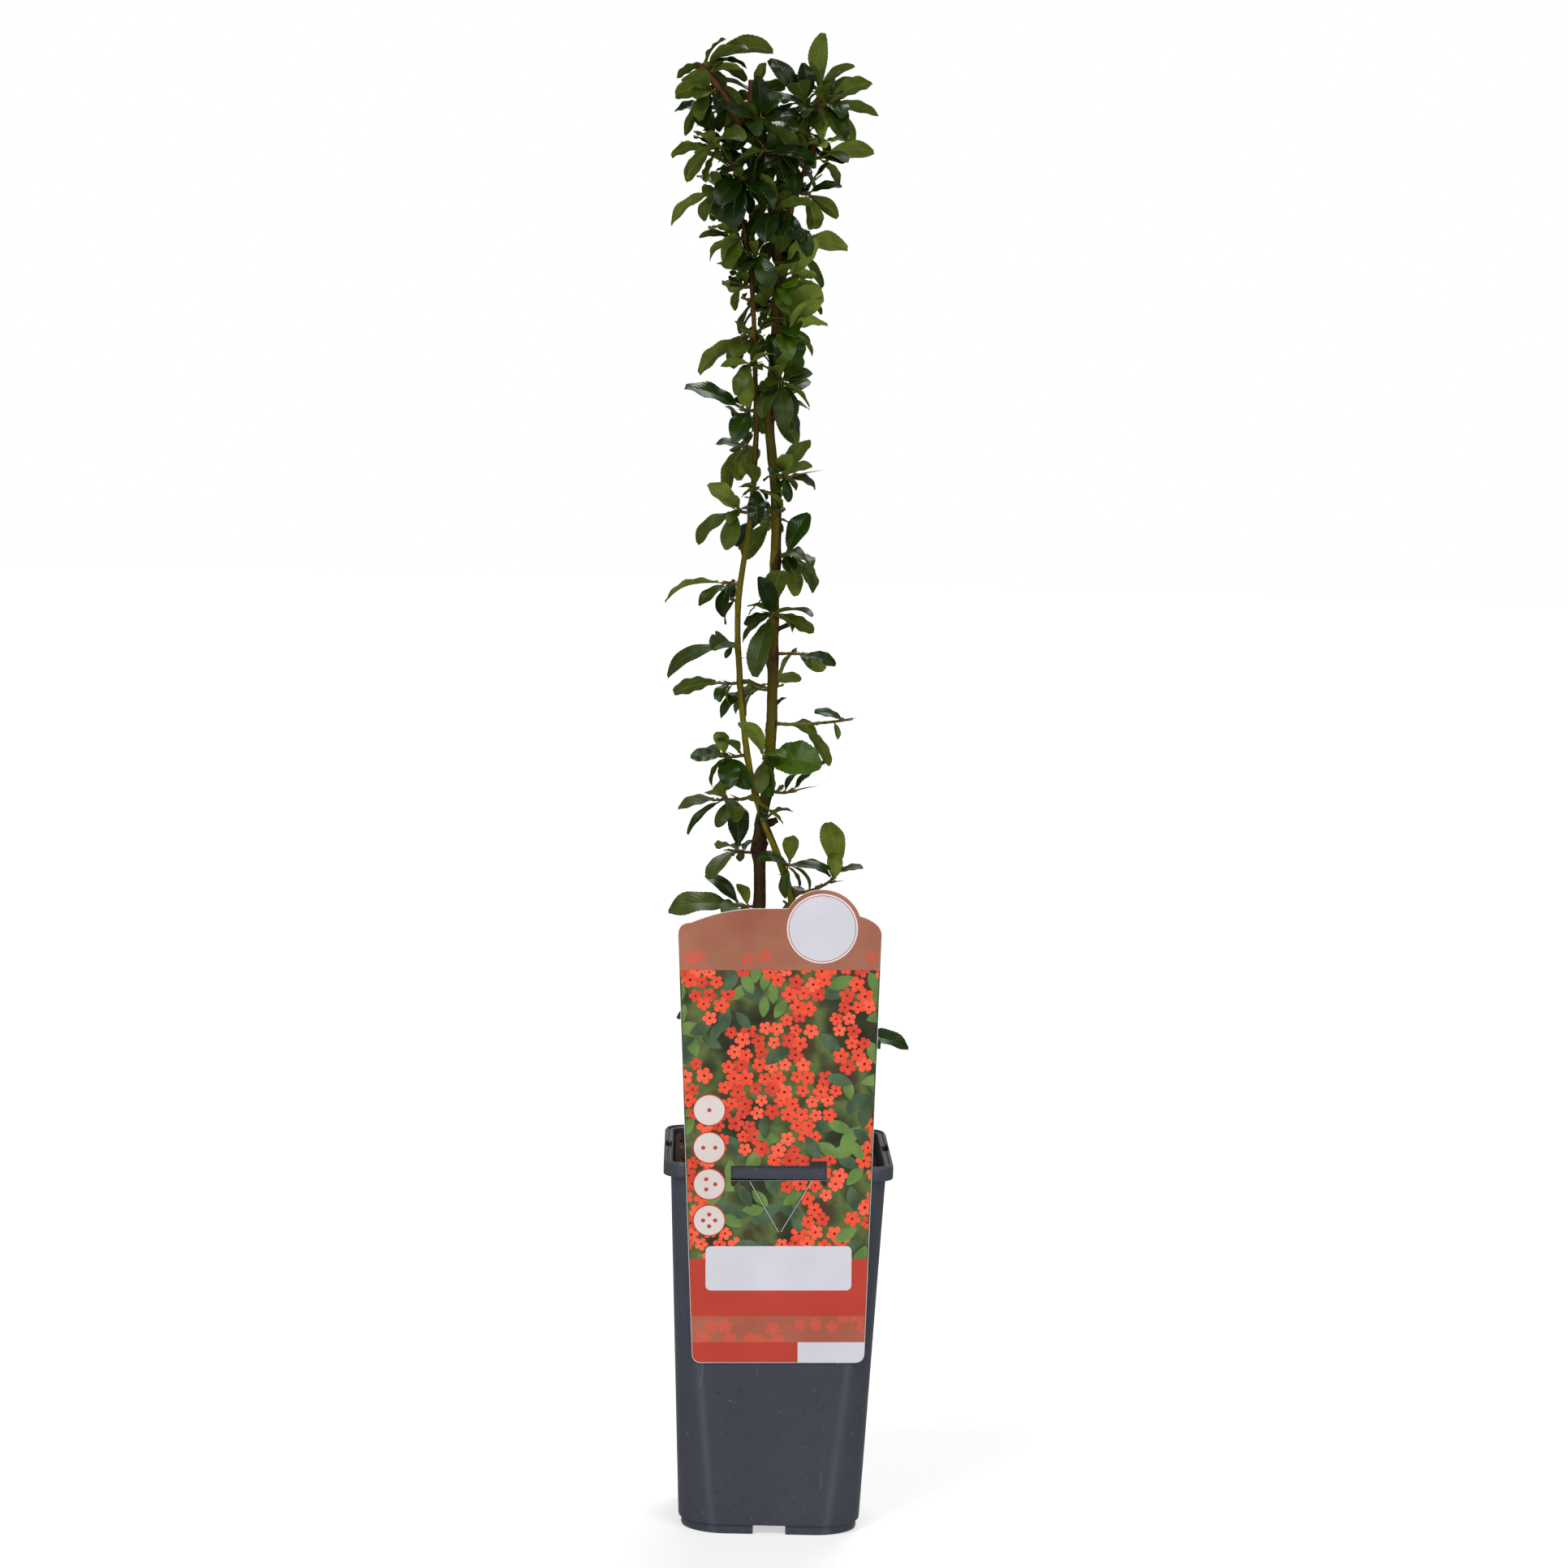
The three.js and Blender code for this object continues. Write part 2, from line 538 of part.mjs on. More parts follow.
// The card's outline, in its own plane, with the middle of the rim's window at the origin.
function labelShape() {
  const L = LABEL;
  const shape = new THREE.Shape();
  shape.moveTo(-L.bottomHalf + L.corner, L.bottom);
  shape.lineTo(L.bottomHalf - L.corner, L.bottom);
  shape.quadraticCurveTo(L.bottomHalf, L.bottom, L.bottomHalf, L.bottom + L.corner);
  shape.lineTo(L.topHalf, L.side);
  const [from, to] = L.bumpArc.map(radians);
  const foot = L.bumpX + L.bumpRadius * Math.cos(from);
  shape.quadraticCurveTo(L.topHalf, L.shoulder, foot, L.bumpHeight + L.bumpRadius * Math.sin(from));
  shape.absarc(L.bumpX, L.bumpHeight, L.bumpRadius, from, to, false);
  shape.lineTo(L.crestX, L.crest);
  const inner = L.topHalf - L.shoulderRun;
  shape.quadraticCurveTo((L.crestX - inner) / 2, L.crest, -inner, L.shoulder);
  shape.quadraticCurveTo(-L.topHalf, L.shoulder, -L.topHalf, L.side);
  shape.lineTo(-L.bottomHalf, L.bottom + L.corner);
  shape.quadraticCurveTo(-L.bottomHalf, L.bottom, -L.bottomHalf + L.corner, L.bottom);
  const window = new THREE.Path();
  window.moveTo(-L.windowHalf, L.windowLow);
  window.lineTo(-L.windowHalf, L.windowHigh);
  window.lineTo(L.windowHalf, L.windowHigh);
  window.lineTo(L.windowHalf, L.windowLow);
  window.closePath();
  shape.holes.push(window);
  return shape;
}

// The card leans: its back rests on the rim band's lower edge and on the wall near its own foot.
function labelPlace() {
  const clear = CLEAR + SEAT;
  const middle = POT.height - POT.rimBand / 2;
  const high = { y: -POT.rimHalf - clear, z: POT.height - POT.rimBand + POT.rimEdge };
  const low = { z: middle + LABEL.bottom };
  low.y = -wallAt(low.z).half - clear;
  const lean = Math.atan2(low.y - high.y, high.z - low.z);
  return { lean, y: high.y - (middle - high.z) * Math.tan(lean), z: middle };
}

function labelMesh() {
  const geometry = new THREE.ExtrudeGeometry(labelShape(), {
    depth: LABEL.thickness,
    bevelEnabled: false,
    curveSegments: LABEL.curveSteps,
  });
  const place = labelPlace();
  geometry.rotateZ(radians(LABEL.turn));
  geometry.rotateX(Math.PI / 2 + place.lean);
  geometry.translate(0, place.y, place.z);
  return mesh("label_card", mergeVertices(bareOf(geometry), WELD), SURFACE.label);
}

function bareOf(geometry) {
  geometry.deleteAttribute("normal");
  geometry.deleteAttribute("uv");
  return geometry;
}

// ---------------------------------------------------------------- limbs

// A limb's smooth route, with a lookup by height.
function makeLimb(name) {
  const { route, radii, carrier, height } = LIMBS[name];
  const points = route.map((p) => new THREE.Vector3(...p));
  const facing = new THREE.Vector3(0, 0, 1);
  if (carrier) {
    // The foot stands just clear of the carrier's bark.
    const { point, radius } = limbAt(limbs[carrier], height);
    facing.copy(points[0]).sub(point).setZ(0).normalize();
    points.unshift(point.clone().addScaledVector(facing, radius + CLEAR + 2 * SEAT));
  } else points[0].z = COMPOST.top + CLEAR;
  const curve = new THREE.CatmullRomCurve3(points, false, "catmullrom", 0.5);
  const length = points.slice(1).reduce((sum, p, i) => sum + p.distanceTo(points[i]), 0);
  const count = Math.max(LIMB_LEAST, Math.round(length / LIMB_STEP));
  const line = Array.from({ length: count + 1 }, (_, i) => curve.getPoint(i / count));
  const sizes = line.map((_, i) => THREE.MathUtils.lerp(radii[0], radii[1], i / count));
  return { name, line, sizes, facing };
}

// The point, direction and radius of a limb at a height.
function limbAt(limb, z) {
  const i = Math.max(0, limb.line.findIndex((p, k) => k > 0 && p.z >= z) - 1);
  const [a, b] = [limb.line[i], limb.line[i + 1]];
  const share = THREE.MathUtils.clamp((z - a.z) / (b.z - a.z), 0, 1);
  return {
    point: a.clone().lerp(b, share),
    along: b.clone().sub(a).normalize(),
    radius: THREE.MathUtils.lerp(limb.sizes[i], limb.sizes[i + 1], share),
  };
}

function heading(degrees, pitch = 0) {
  const [a, b] = [radians(degrees), radians(pitch)];
  return new THREE.Vector3(Math.cos(a) * Math.cos(b), Math.sin(a) * Math.cos(b), Math.sin(b));
}

const limbs = {};
for (const name of Object.keys(LIMBS)) limbs[name] = makeLimb(name);

function limbGeometry(limb) {
  const sides = limb.name.startsWith("stem") ? STEM_SIDES : BOUGH_SIDES;
  const stem = loft(limbRings(limb.line, limb.sizes, sides, limb.facing));
  if (limb.name !== "stem_main") return stem;
  const stubs = STUBS.map((stub) => {
    const { point, radius } = limbAt(limb, stub.height);
    const end = point.clone().addScaledVector(heading(stub.heading, STUB_PITCH), radius + stub.length);
    return loft(limbRings([point, end], [stub.radius * STUB_TAPER, stub.radius], BOUGH_SIDES));
  });
  return joined([stem, ...stubs]);
}

// ---------------------------------------------------------------- twigs, thorns and leaves

// Random numbers from 0 to 1 that a seed fixes.
function seeded(seed) {
  let state = seed >>> 0;
  return () => {
    state = (state + 0x6d2b79f5) >>> 0;
    let t = state;
    t = Math.imul(t ^ (t >>> 15), t | 1);
    t ^= t + Math.imul(t ^ (t >>> 7), t | 61);
    return ((t ^ (t >>> 14)) >>> 0) / 4294967296;
  };
}

// A number between the two ends of a range.
const pick = (random, [low, high]) => low + (high - low) * random();

// A twig's points: it leaves along out, and bends to its final climb.
function twigLine(foot, out, toDegrees, length, rise, random) {
  const count = Math.max(2, Math.ceil(length / TWIG_STEP));
  const line = [foot.clone()];
  let turn = toDegrees;
  for (let i = 0; i < count; i++) {
    const along = i ? heading(turn, (rise * (i + 0.5)) / count) : out;
    line.push(line[i].clone().addScaledVector(along, length / count));
    turn += pick(random, [-WANDER, WANDER]);
  }
  return line;
}

function pointOn(line, share) {
  const place = share * (line.length - 1);
  const i = Math.min(Math.floor(place), line.length - 2);
  return line[i].clone().lerp(line[i + 1], place - i);
}

// A leaf's frame: foot, chord direction, side and upper normal. The upper side turns to the light, more
// or less to the back as face says. The blade is an arc that arches by bend.
function makeLeaf(foot, along, length, breadth, face, bend, roll) {
  const normal = new THREE.Vector3(LIGHT.x, face, LIGHT.z).normalize().projectOnPlane(along);
  if (normal.length() < STEEP) normal.set(0, Math.sign(face), 0).projectOnPlane(along);
  normal.normalize().applyAxisAngle(along, roll);
  const side = along.clone().cross(normal);
  const half = length * LEAF.slimness * breadth;
  const chord = (length * Math.sin(bend / 2)) / (bend / 2);
  return { foot, along, side, normal, length, half, bend, chord };
}

// The middle of the blade at a share of its length: its distances along the chord and above it.
function archAt(leaf, share) {
  const bow = leaf.length / leaf.bend;
  const angle = leaf.bend * (share - 0.5);
  return {
    u: bow * (Math.sin(angle) + Math.sin(leaf.bend / 2)),
    w: bow * (Math.cos(angle) - Math.cos(leaf.bend / 2)),
  };
}

function bladePoint(leaf, share, across, lift = 0) {
  const { u, w } = archAt(leaf, share);
  return leaf.foot.clone()
    .addScaledVector(leaf.along, u)
    .addScaledVector(leaf.side, across)
    .addScaledVector(leaf.normal, w + lift);
}

// Half width of the blade at a share of its length: a stalk, then a blade widest past its middle.
function bladeHalf(leaf, share) {
  const s = Math.max(0, (share - PETIOLE) / (1 - PETIOLE));
  const bulge = Math.sin(Math.PI * s ** (Math.log(0.5) / Math.log(WIDEST)));
  return leaf.half * Math.max(STALK, bulge) ** FULLNESS;
}

// A leaf's solid is a folded kite: three points at its root, three where it is widest, and its tip.
function leafGeometry(leaf) {
  const widest = PETIOLE + (1 - PETIOLE) * WIDEST;
  const section = (share, half, keel) => [
    bladePoint(leaf, share, -half, ARRIS * keel),
    bladePoint(leaf, share, half, ARRIS * keel),
    bladePoint(leaf, share, 0, (ARRIS - 1) * keel),
  ];
  return loft([
    section(0, LEAF.root, LEAF.rootKeel),
    section(widest, leaf.half, LEAF.keel),
    [bladePoint(leaf, 1, 0)],
  ]);
}

// Spots on a blade that have to stay clear of everything else.
function spotsOf(leaf) {
  const spots = [];
  for (const share of SPOTS_ALONG) {
    const half = bladeHalf(leaf, share);
    for (const across of SPOTS_ACROSS) spots.push(bladePoint(leaf, share, across * half));
  }
  return spots;
}

function insideLeaf(leaf, spot) {
  const d = spot.clone().sub(leaf.foot);
  const u = d.dot(leaf.along);
  if (u < 0 || u > leaf.chord + LEAF.margin) return false;
  const share = Math.min(u / leaf.chord, 1);
  if (Math.abs(d.dot(leaf.side)) > bladeHalf(leaf, share) + LEAF.margin) return false;
  return Math.abs(d.dot(leaf.normal) - archAt(leaf, share).w) < LEAF.gap;
}

// Does a leaf's tip lie in the crown's space?
function isInReach(leaf) {
  const tip = bladePoint(leaf, 1, 0);
  const next = Math.max(1, REACH.findIndex(([height]) => height > tip.z));
  if (tip.z > REACH.at(-1)[0]) return false;
  const [below, above] = [REACH[next - 1], REACH[next]];
  const share = THREE.MathUtils.clamp((tip.z - below[0]) / (above[0] - below[0]), 0, 1);
  const [left, right, deep] = [1, 2, 3].map((k) => THREE.MathUtils.lerp(below[k], above[k], share));
  return tip.x > left && tip.x < right && Math.abs(tip.y) < deep;
}

function distanceToLine(spot, line) {
  let least = Infinity;
  for (let i = 0; i + 1 < line.length; i++) {
    const ab = line[i + 1].clone().sub(line[i]);
    const share = THREE.MathUtils.clamp(spot.clone().sub(line[i]).dot(ab) / ab.lengthSq(), 0, 1);
    least = Math.min(least, spot.distanceTo(line[i].clone().addScaledVector(ab, share)));
  }
  return least;
}

// One spur: its twigs, its thorns and the leaves it would like to carry, from its own seed.
function makeSpur(spur, number) {
  const random = seeded(spur.seed);
  const limb = limbAt(limbs[spur.on], spur.z);
  const out = heading(spur.to).projectOnPlane(limb.along).normalize();
  const foot = limb.point.clone().addScaledVector(out, limb.radius + CLEAR + SEAT);
  const twigs = [twigLine(foot, out, spur.to, spur.twig, spur.rise, random)];
  const forks = Math.floor(spur.twig / SIDE_TWIG_SPACING);
  for (let k = 0; k < forks; k++) {
    const share = (k + 1) / (forks + 1);
    const turn = spur.to + (k % 2 ? -1 : 1) * pick(random, FORK_TURN);
    const length = pick(random, FORK_LENGTH);
    twigs.push(twigLine(pointOn(twigs[0], share), heading(turn), turn, length, FORK_RISE, random));
  }
  // Each wanted leaf is a list of tries, of which the first that is clear is grown.
  const wanted = spur.leads.map(([to, pitch, length, breadth, face], k) => {
    const bend = radians(pick(random, LEAD.arch));
    const roll = radians(pick(random, LEAD.roll));
    const foot = pointOn(twigs[0], LEAD.foot - LEAD.spacing * k);
    return LEAD.turns.map((turn) =>
      makeLeaf(foot, heading(to + turn, pitch - Math.abs(turn) / 2), length, breadth, face, bend, roll));
  });
  for (let k = 0; k < spur.leaves; k++) {
    const twig = twigs[k % twigs.length];
    const foot = pointOn(twig, GROWN.foot - GROWN.spread * (k / spur.leaves) * random());
    const axis = twig[twig.length - 1].clone().sub(twig[0]).normalize();
    const start = SPIRAL * k + pick(random, GROWN.turn);
    const forward = pick(random, GROWN.forward);
    const length = pick(random, GROWN.length) * (spur.fresh ? GROWN.freshSize : 1);
    const breadth = pick(random, GROWN.breadth);
    const face = pick(random, [UPPER, UNDER]);
    const bend = radians(pick(random, GROWN.arch));
    const roll = radians(pick(random, GROWN.roll));
    wanted.push(Array.from({ length: TRIES }, (_, step) => {
      const along = new THREE.Vector3(0, 0, 1).projectOnPlane(axis).normalize()
        .applyAxisAngle(axis, radians(start + (step * 360) / TRIES))
        .addScaledVector(axis, forward);
      along.z -= GROWN.droop;
      return makeLeaf(foot, along.normalize(), length, breadth, face, bend, roll);
    }).filter(isInReach));
  }
  // A spur with a stated thorn ends in it, and on the others it stands aside.
  const thornFoot = pointOn(twigs[0], spur.thorn ? THORN_PLACE.end : THORN_PLACE.side);
  const thornTo = spur.to + (spur.thorn ? THORN_SKEW : random() < 0.5 ? -THORN_TURN : THORN_TURN);
  const thornLength = spur.thorn ?? pick(random, THORN_LENGTH);
  const thorn = [thornFoot, thornFoot.clone().addScaledVector(heading(thornTo, THORN_PITCH), thornLength)];
  const name = "foliage_" + String(number + 1).padStart(2, "0");
  return { name, fresh: spur.fresh, twigs, thorn, wanted, leaves: [] };
}

const spurs = SPURS.map(makeSpur);

// Is a wanted leaf clear of the limbs, of every twig but its own spur's, and of the leaves so far?
function isClear(leaf, spur) {
  const spots = spotsOf(leaf);
  for (const limb of Object.values(limbs))
    if (spots.some((spot) => distanceToLine(spot, limb.line) < limb.sizes[0] + LIMB_ROOM)) return false;
  for (const other of spurs) {
    const room = other === spur ? OWN_ROOM : TWIG_ROOM;
    for (const line of [...other.twigs, other.thorn])
      if (spots.some((spot) => distanceToLine(spot, line) < room)) return false;
    for (const taken of other.leaves) {
      if (spots.some((spot) => insideLeaf(taken, spot))) return false;
      if (spotsOf(taken).some((spot) => insideLeaf(leaf, spot))) return false;
    }
  }
  return true;
}

// Leaves are dealt out one to each spur in turn, the leading ones first.
const most = Math.max(...spurs.map((spur) => spur.wanted.length));
for (let k = 0; k < most; k++)
  for (const spur of spurs) {
    const leaf = spur.wanted[k]?.find((tried) => isClear(tried, spur));
    if (leaf) spur.leaves.push(leaf);
  }

function spurGeometry(spur) {
  const twigs = spur.twigs.map((line, k) => {
    const thick = k ? FORK_THICKNESS * TWIG_RADIUS : TWIG_RADIUS;
    const radii = line.map((_, i) => THREE.MathUtils.lerp(thick, TWIG_TIP_RADIUS, i / (line.length - 1)));
    return loft(limbRings(line, radii, TWIG_SIDES));
  });
  const [ring] = limbRings(spur.thorn, [THORN_RADIUS, 0], TWIG_SIDES);
  return joined([...twigs, loft([ring, [spur.thorn[1]]]), ...spur.leaves.map(leafGeometry)]);
}

// ---------------------------------------------------------------- the whole plant

function mesh(name, geometry, surface) {
  const made = new THREE.Mesh(geometry, new THREE.MeshStandardMaterial(surface));
  made.name = name;
  return made;
}

const plant = new THREE.Group();
plant.add(mesh("pot", potGeometry(), SURFACE.pot));
plant.add(mesh("compost", compostGeometry(), SURFACE.compost));
plant.add(labelMesh());
for (const limb of Object.values(limbs)) {
  const surface = limb.name.startsWith("stem") ? SURFACE.bark : SURFACE.reddish;
  plant.add(mesh(limb.name, limbGeometry(limb), surface));
}
for (const spur of spurs)
  plant.add(mesh(spur.name, spurGeometry(spur), spur.fresh ? SURFACE.fresh : SURFACE.leaf));

export default plant;
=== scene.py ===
"""A young firethorn, grown as a slim column in a deep square nursery pot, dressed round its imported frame.

Lengths in this script are millimetres, and headings are degrees in plan, as in the part's source. Meshes
are turned into metres when they are built. Limbs, twigs and leaves grow by the source's rule, and are then
carried on to smaller leaves, buds and thorns.
"""

import itertools
import math
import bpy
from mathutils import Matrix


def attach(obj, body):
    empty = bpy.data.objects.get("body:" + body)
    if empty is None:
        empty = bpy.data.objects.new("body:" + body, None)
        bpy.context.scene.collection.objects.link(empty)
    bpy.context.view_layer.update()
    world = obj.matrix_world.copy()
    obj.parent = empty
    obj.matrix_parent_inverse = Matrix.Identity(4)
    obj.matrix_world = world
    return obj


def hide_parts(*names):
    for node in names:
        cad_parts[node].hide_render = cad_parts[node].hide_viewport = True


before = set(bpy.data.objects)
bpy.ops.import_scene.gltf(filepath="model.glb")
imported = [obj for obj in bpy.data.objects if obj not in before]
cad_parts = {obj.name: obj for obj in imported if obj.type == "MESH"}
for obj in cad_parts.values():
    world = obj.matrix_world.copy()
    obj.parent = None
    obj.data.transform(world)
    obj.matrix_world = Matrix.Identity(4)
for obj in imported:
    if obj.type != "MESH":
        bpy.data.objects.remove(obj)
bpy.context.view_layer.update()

from types import SimpleNamespace

import bpy
import numpy as np
from mathutils import Matrix, Vector, noise

MM = 0.001  # in metres
BODY = "root"

# ---------------------------------------------------------------- sizes shared with the source

CLEAR = 0.3  # gap between pieces that touch
SEAT = 0.05  # added to that gap where a piece lies on a slanted face
POT = SimpleNamespace(
    height=216, rim_half=65, rim_band=8.5, rim_edge=1, rim_wall=5, rim_radius=13, neck_half=60.75,
    neck_radius=9, base_half=51.9, base_radius=24, wall=1.5, foot_half=50.2, foot_height=5.5, foot_wall=3.2,
    floor=2.2, notch=18.5, slot_width=20, slot_depth=3.4, slot_reach=(0.9, 4.3), drain_radius=5,
    drain_place=27)
COMPOST_TOP = 204

LABEL = SimpleNamespace(
    back=0.3, front=0.84, top_half=56.8, bottom_half=48.9, side=137, shoulder=144, shoulder_run=7,
    crest=152, crest_x=-12, bottom=-110.8, corner=6, bump_x=23.6, bump_height=140.6, bump_radius=22.2,
    bump_arc=(19, 149), window_half=27, window_low=-4.2, window_high=4.4, turn=1.3,
    header=117, field=-49.7, strip=-83.3, foot=-98.6)  # where the print's bands end, downwards

LIMBS = {
    "stem_main": dict(radii=(3.9, 1.9), route=[
        (-9, 3, 204), (-12.5, 3, 260), (-14.5, 2.5, 320), (-13.6, 3, 358), (-14.6, 3.6, 395), (-11, 3, 423),
        (-9.4, 2, 465), (-9.7, 1, 530), (-10, 0, 585), (-15, 0, 632), (-13.3, 1, 674), (-11.8, 2, 724),
        (-15, 3, 752), (-23, 3, 780), (-29, 2, 804), (-30, 1.5, 824)]),
    "stem_second": dict(radii=(2.4, 1), route=[
        (9, -3, 204), (14, -4, 262), (13, -4, 318), (5, -4.5, 358), (-4.5, -5, 386), (-14.2, -4.8, 409),
        (-22.7, -3.5, 441), (-28.6, -2, 490), (-30, -1, 530), (-24.3, -1, 580), (-22.4, -2, 626),
        (-24.1, -3, 664), (-27.2, -3, 714), (-33.6, -4, 747), (-38, -5, 772), (-40, -5, 788)]),
    "bough_top_left": dict(radii=(2, 1.7), carrier="stem_main", height=797, route=[
        (-36, -1, 800), (-43, -2, 811), (-51, -2, 822), (-59, -1, 831)]),
    "bough_top_middle": dict(radii=(1.6, 1.1), carrier="stem_main", height=762, route=[
        (-11, 7, 767), (-5, 9, 783), (3, 7, 800), (11, 3.5, 820)]),
    "bough_top_right": dict(radii=(1.7, 1.1), carrier="stem_main", height=737, route=[
        (-8, -3, 741), (-5, -5, 755), (-1.5, -5, 768), (3.7, -4, 780), (7, -3, 791)]),
}
LIMB_STEP = 18  # length of a limb's straight stretches, of which it has at least LIMB_LEAST
LIMB_LEAST = 4
STUBS = [(400, 5, 7, 1.9), (513, -8, 10, 1.1), (634, -20, 9, 1.5)]  # height, heading, length, radius
STUB_PITCH = 25
# Old knots of the main stem: height, heading, swelling.
KNOTS = [(386, 200, 1.1), (392, -20, 1.3), (402, 10, 0.8), (496, 190, 0.8), (550, -60, 0.5), (588, 20, 0.4),
         (636, -30, 0.6)]

UPPER = -0.6
FRONT = -2
UNDER = 0.5
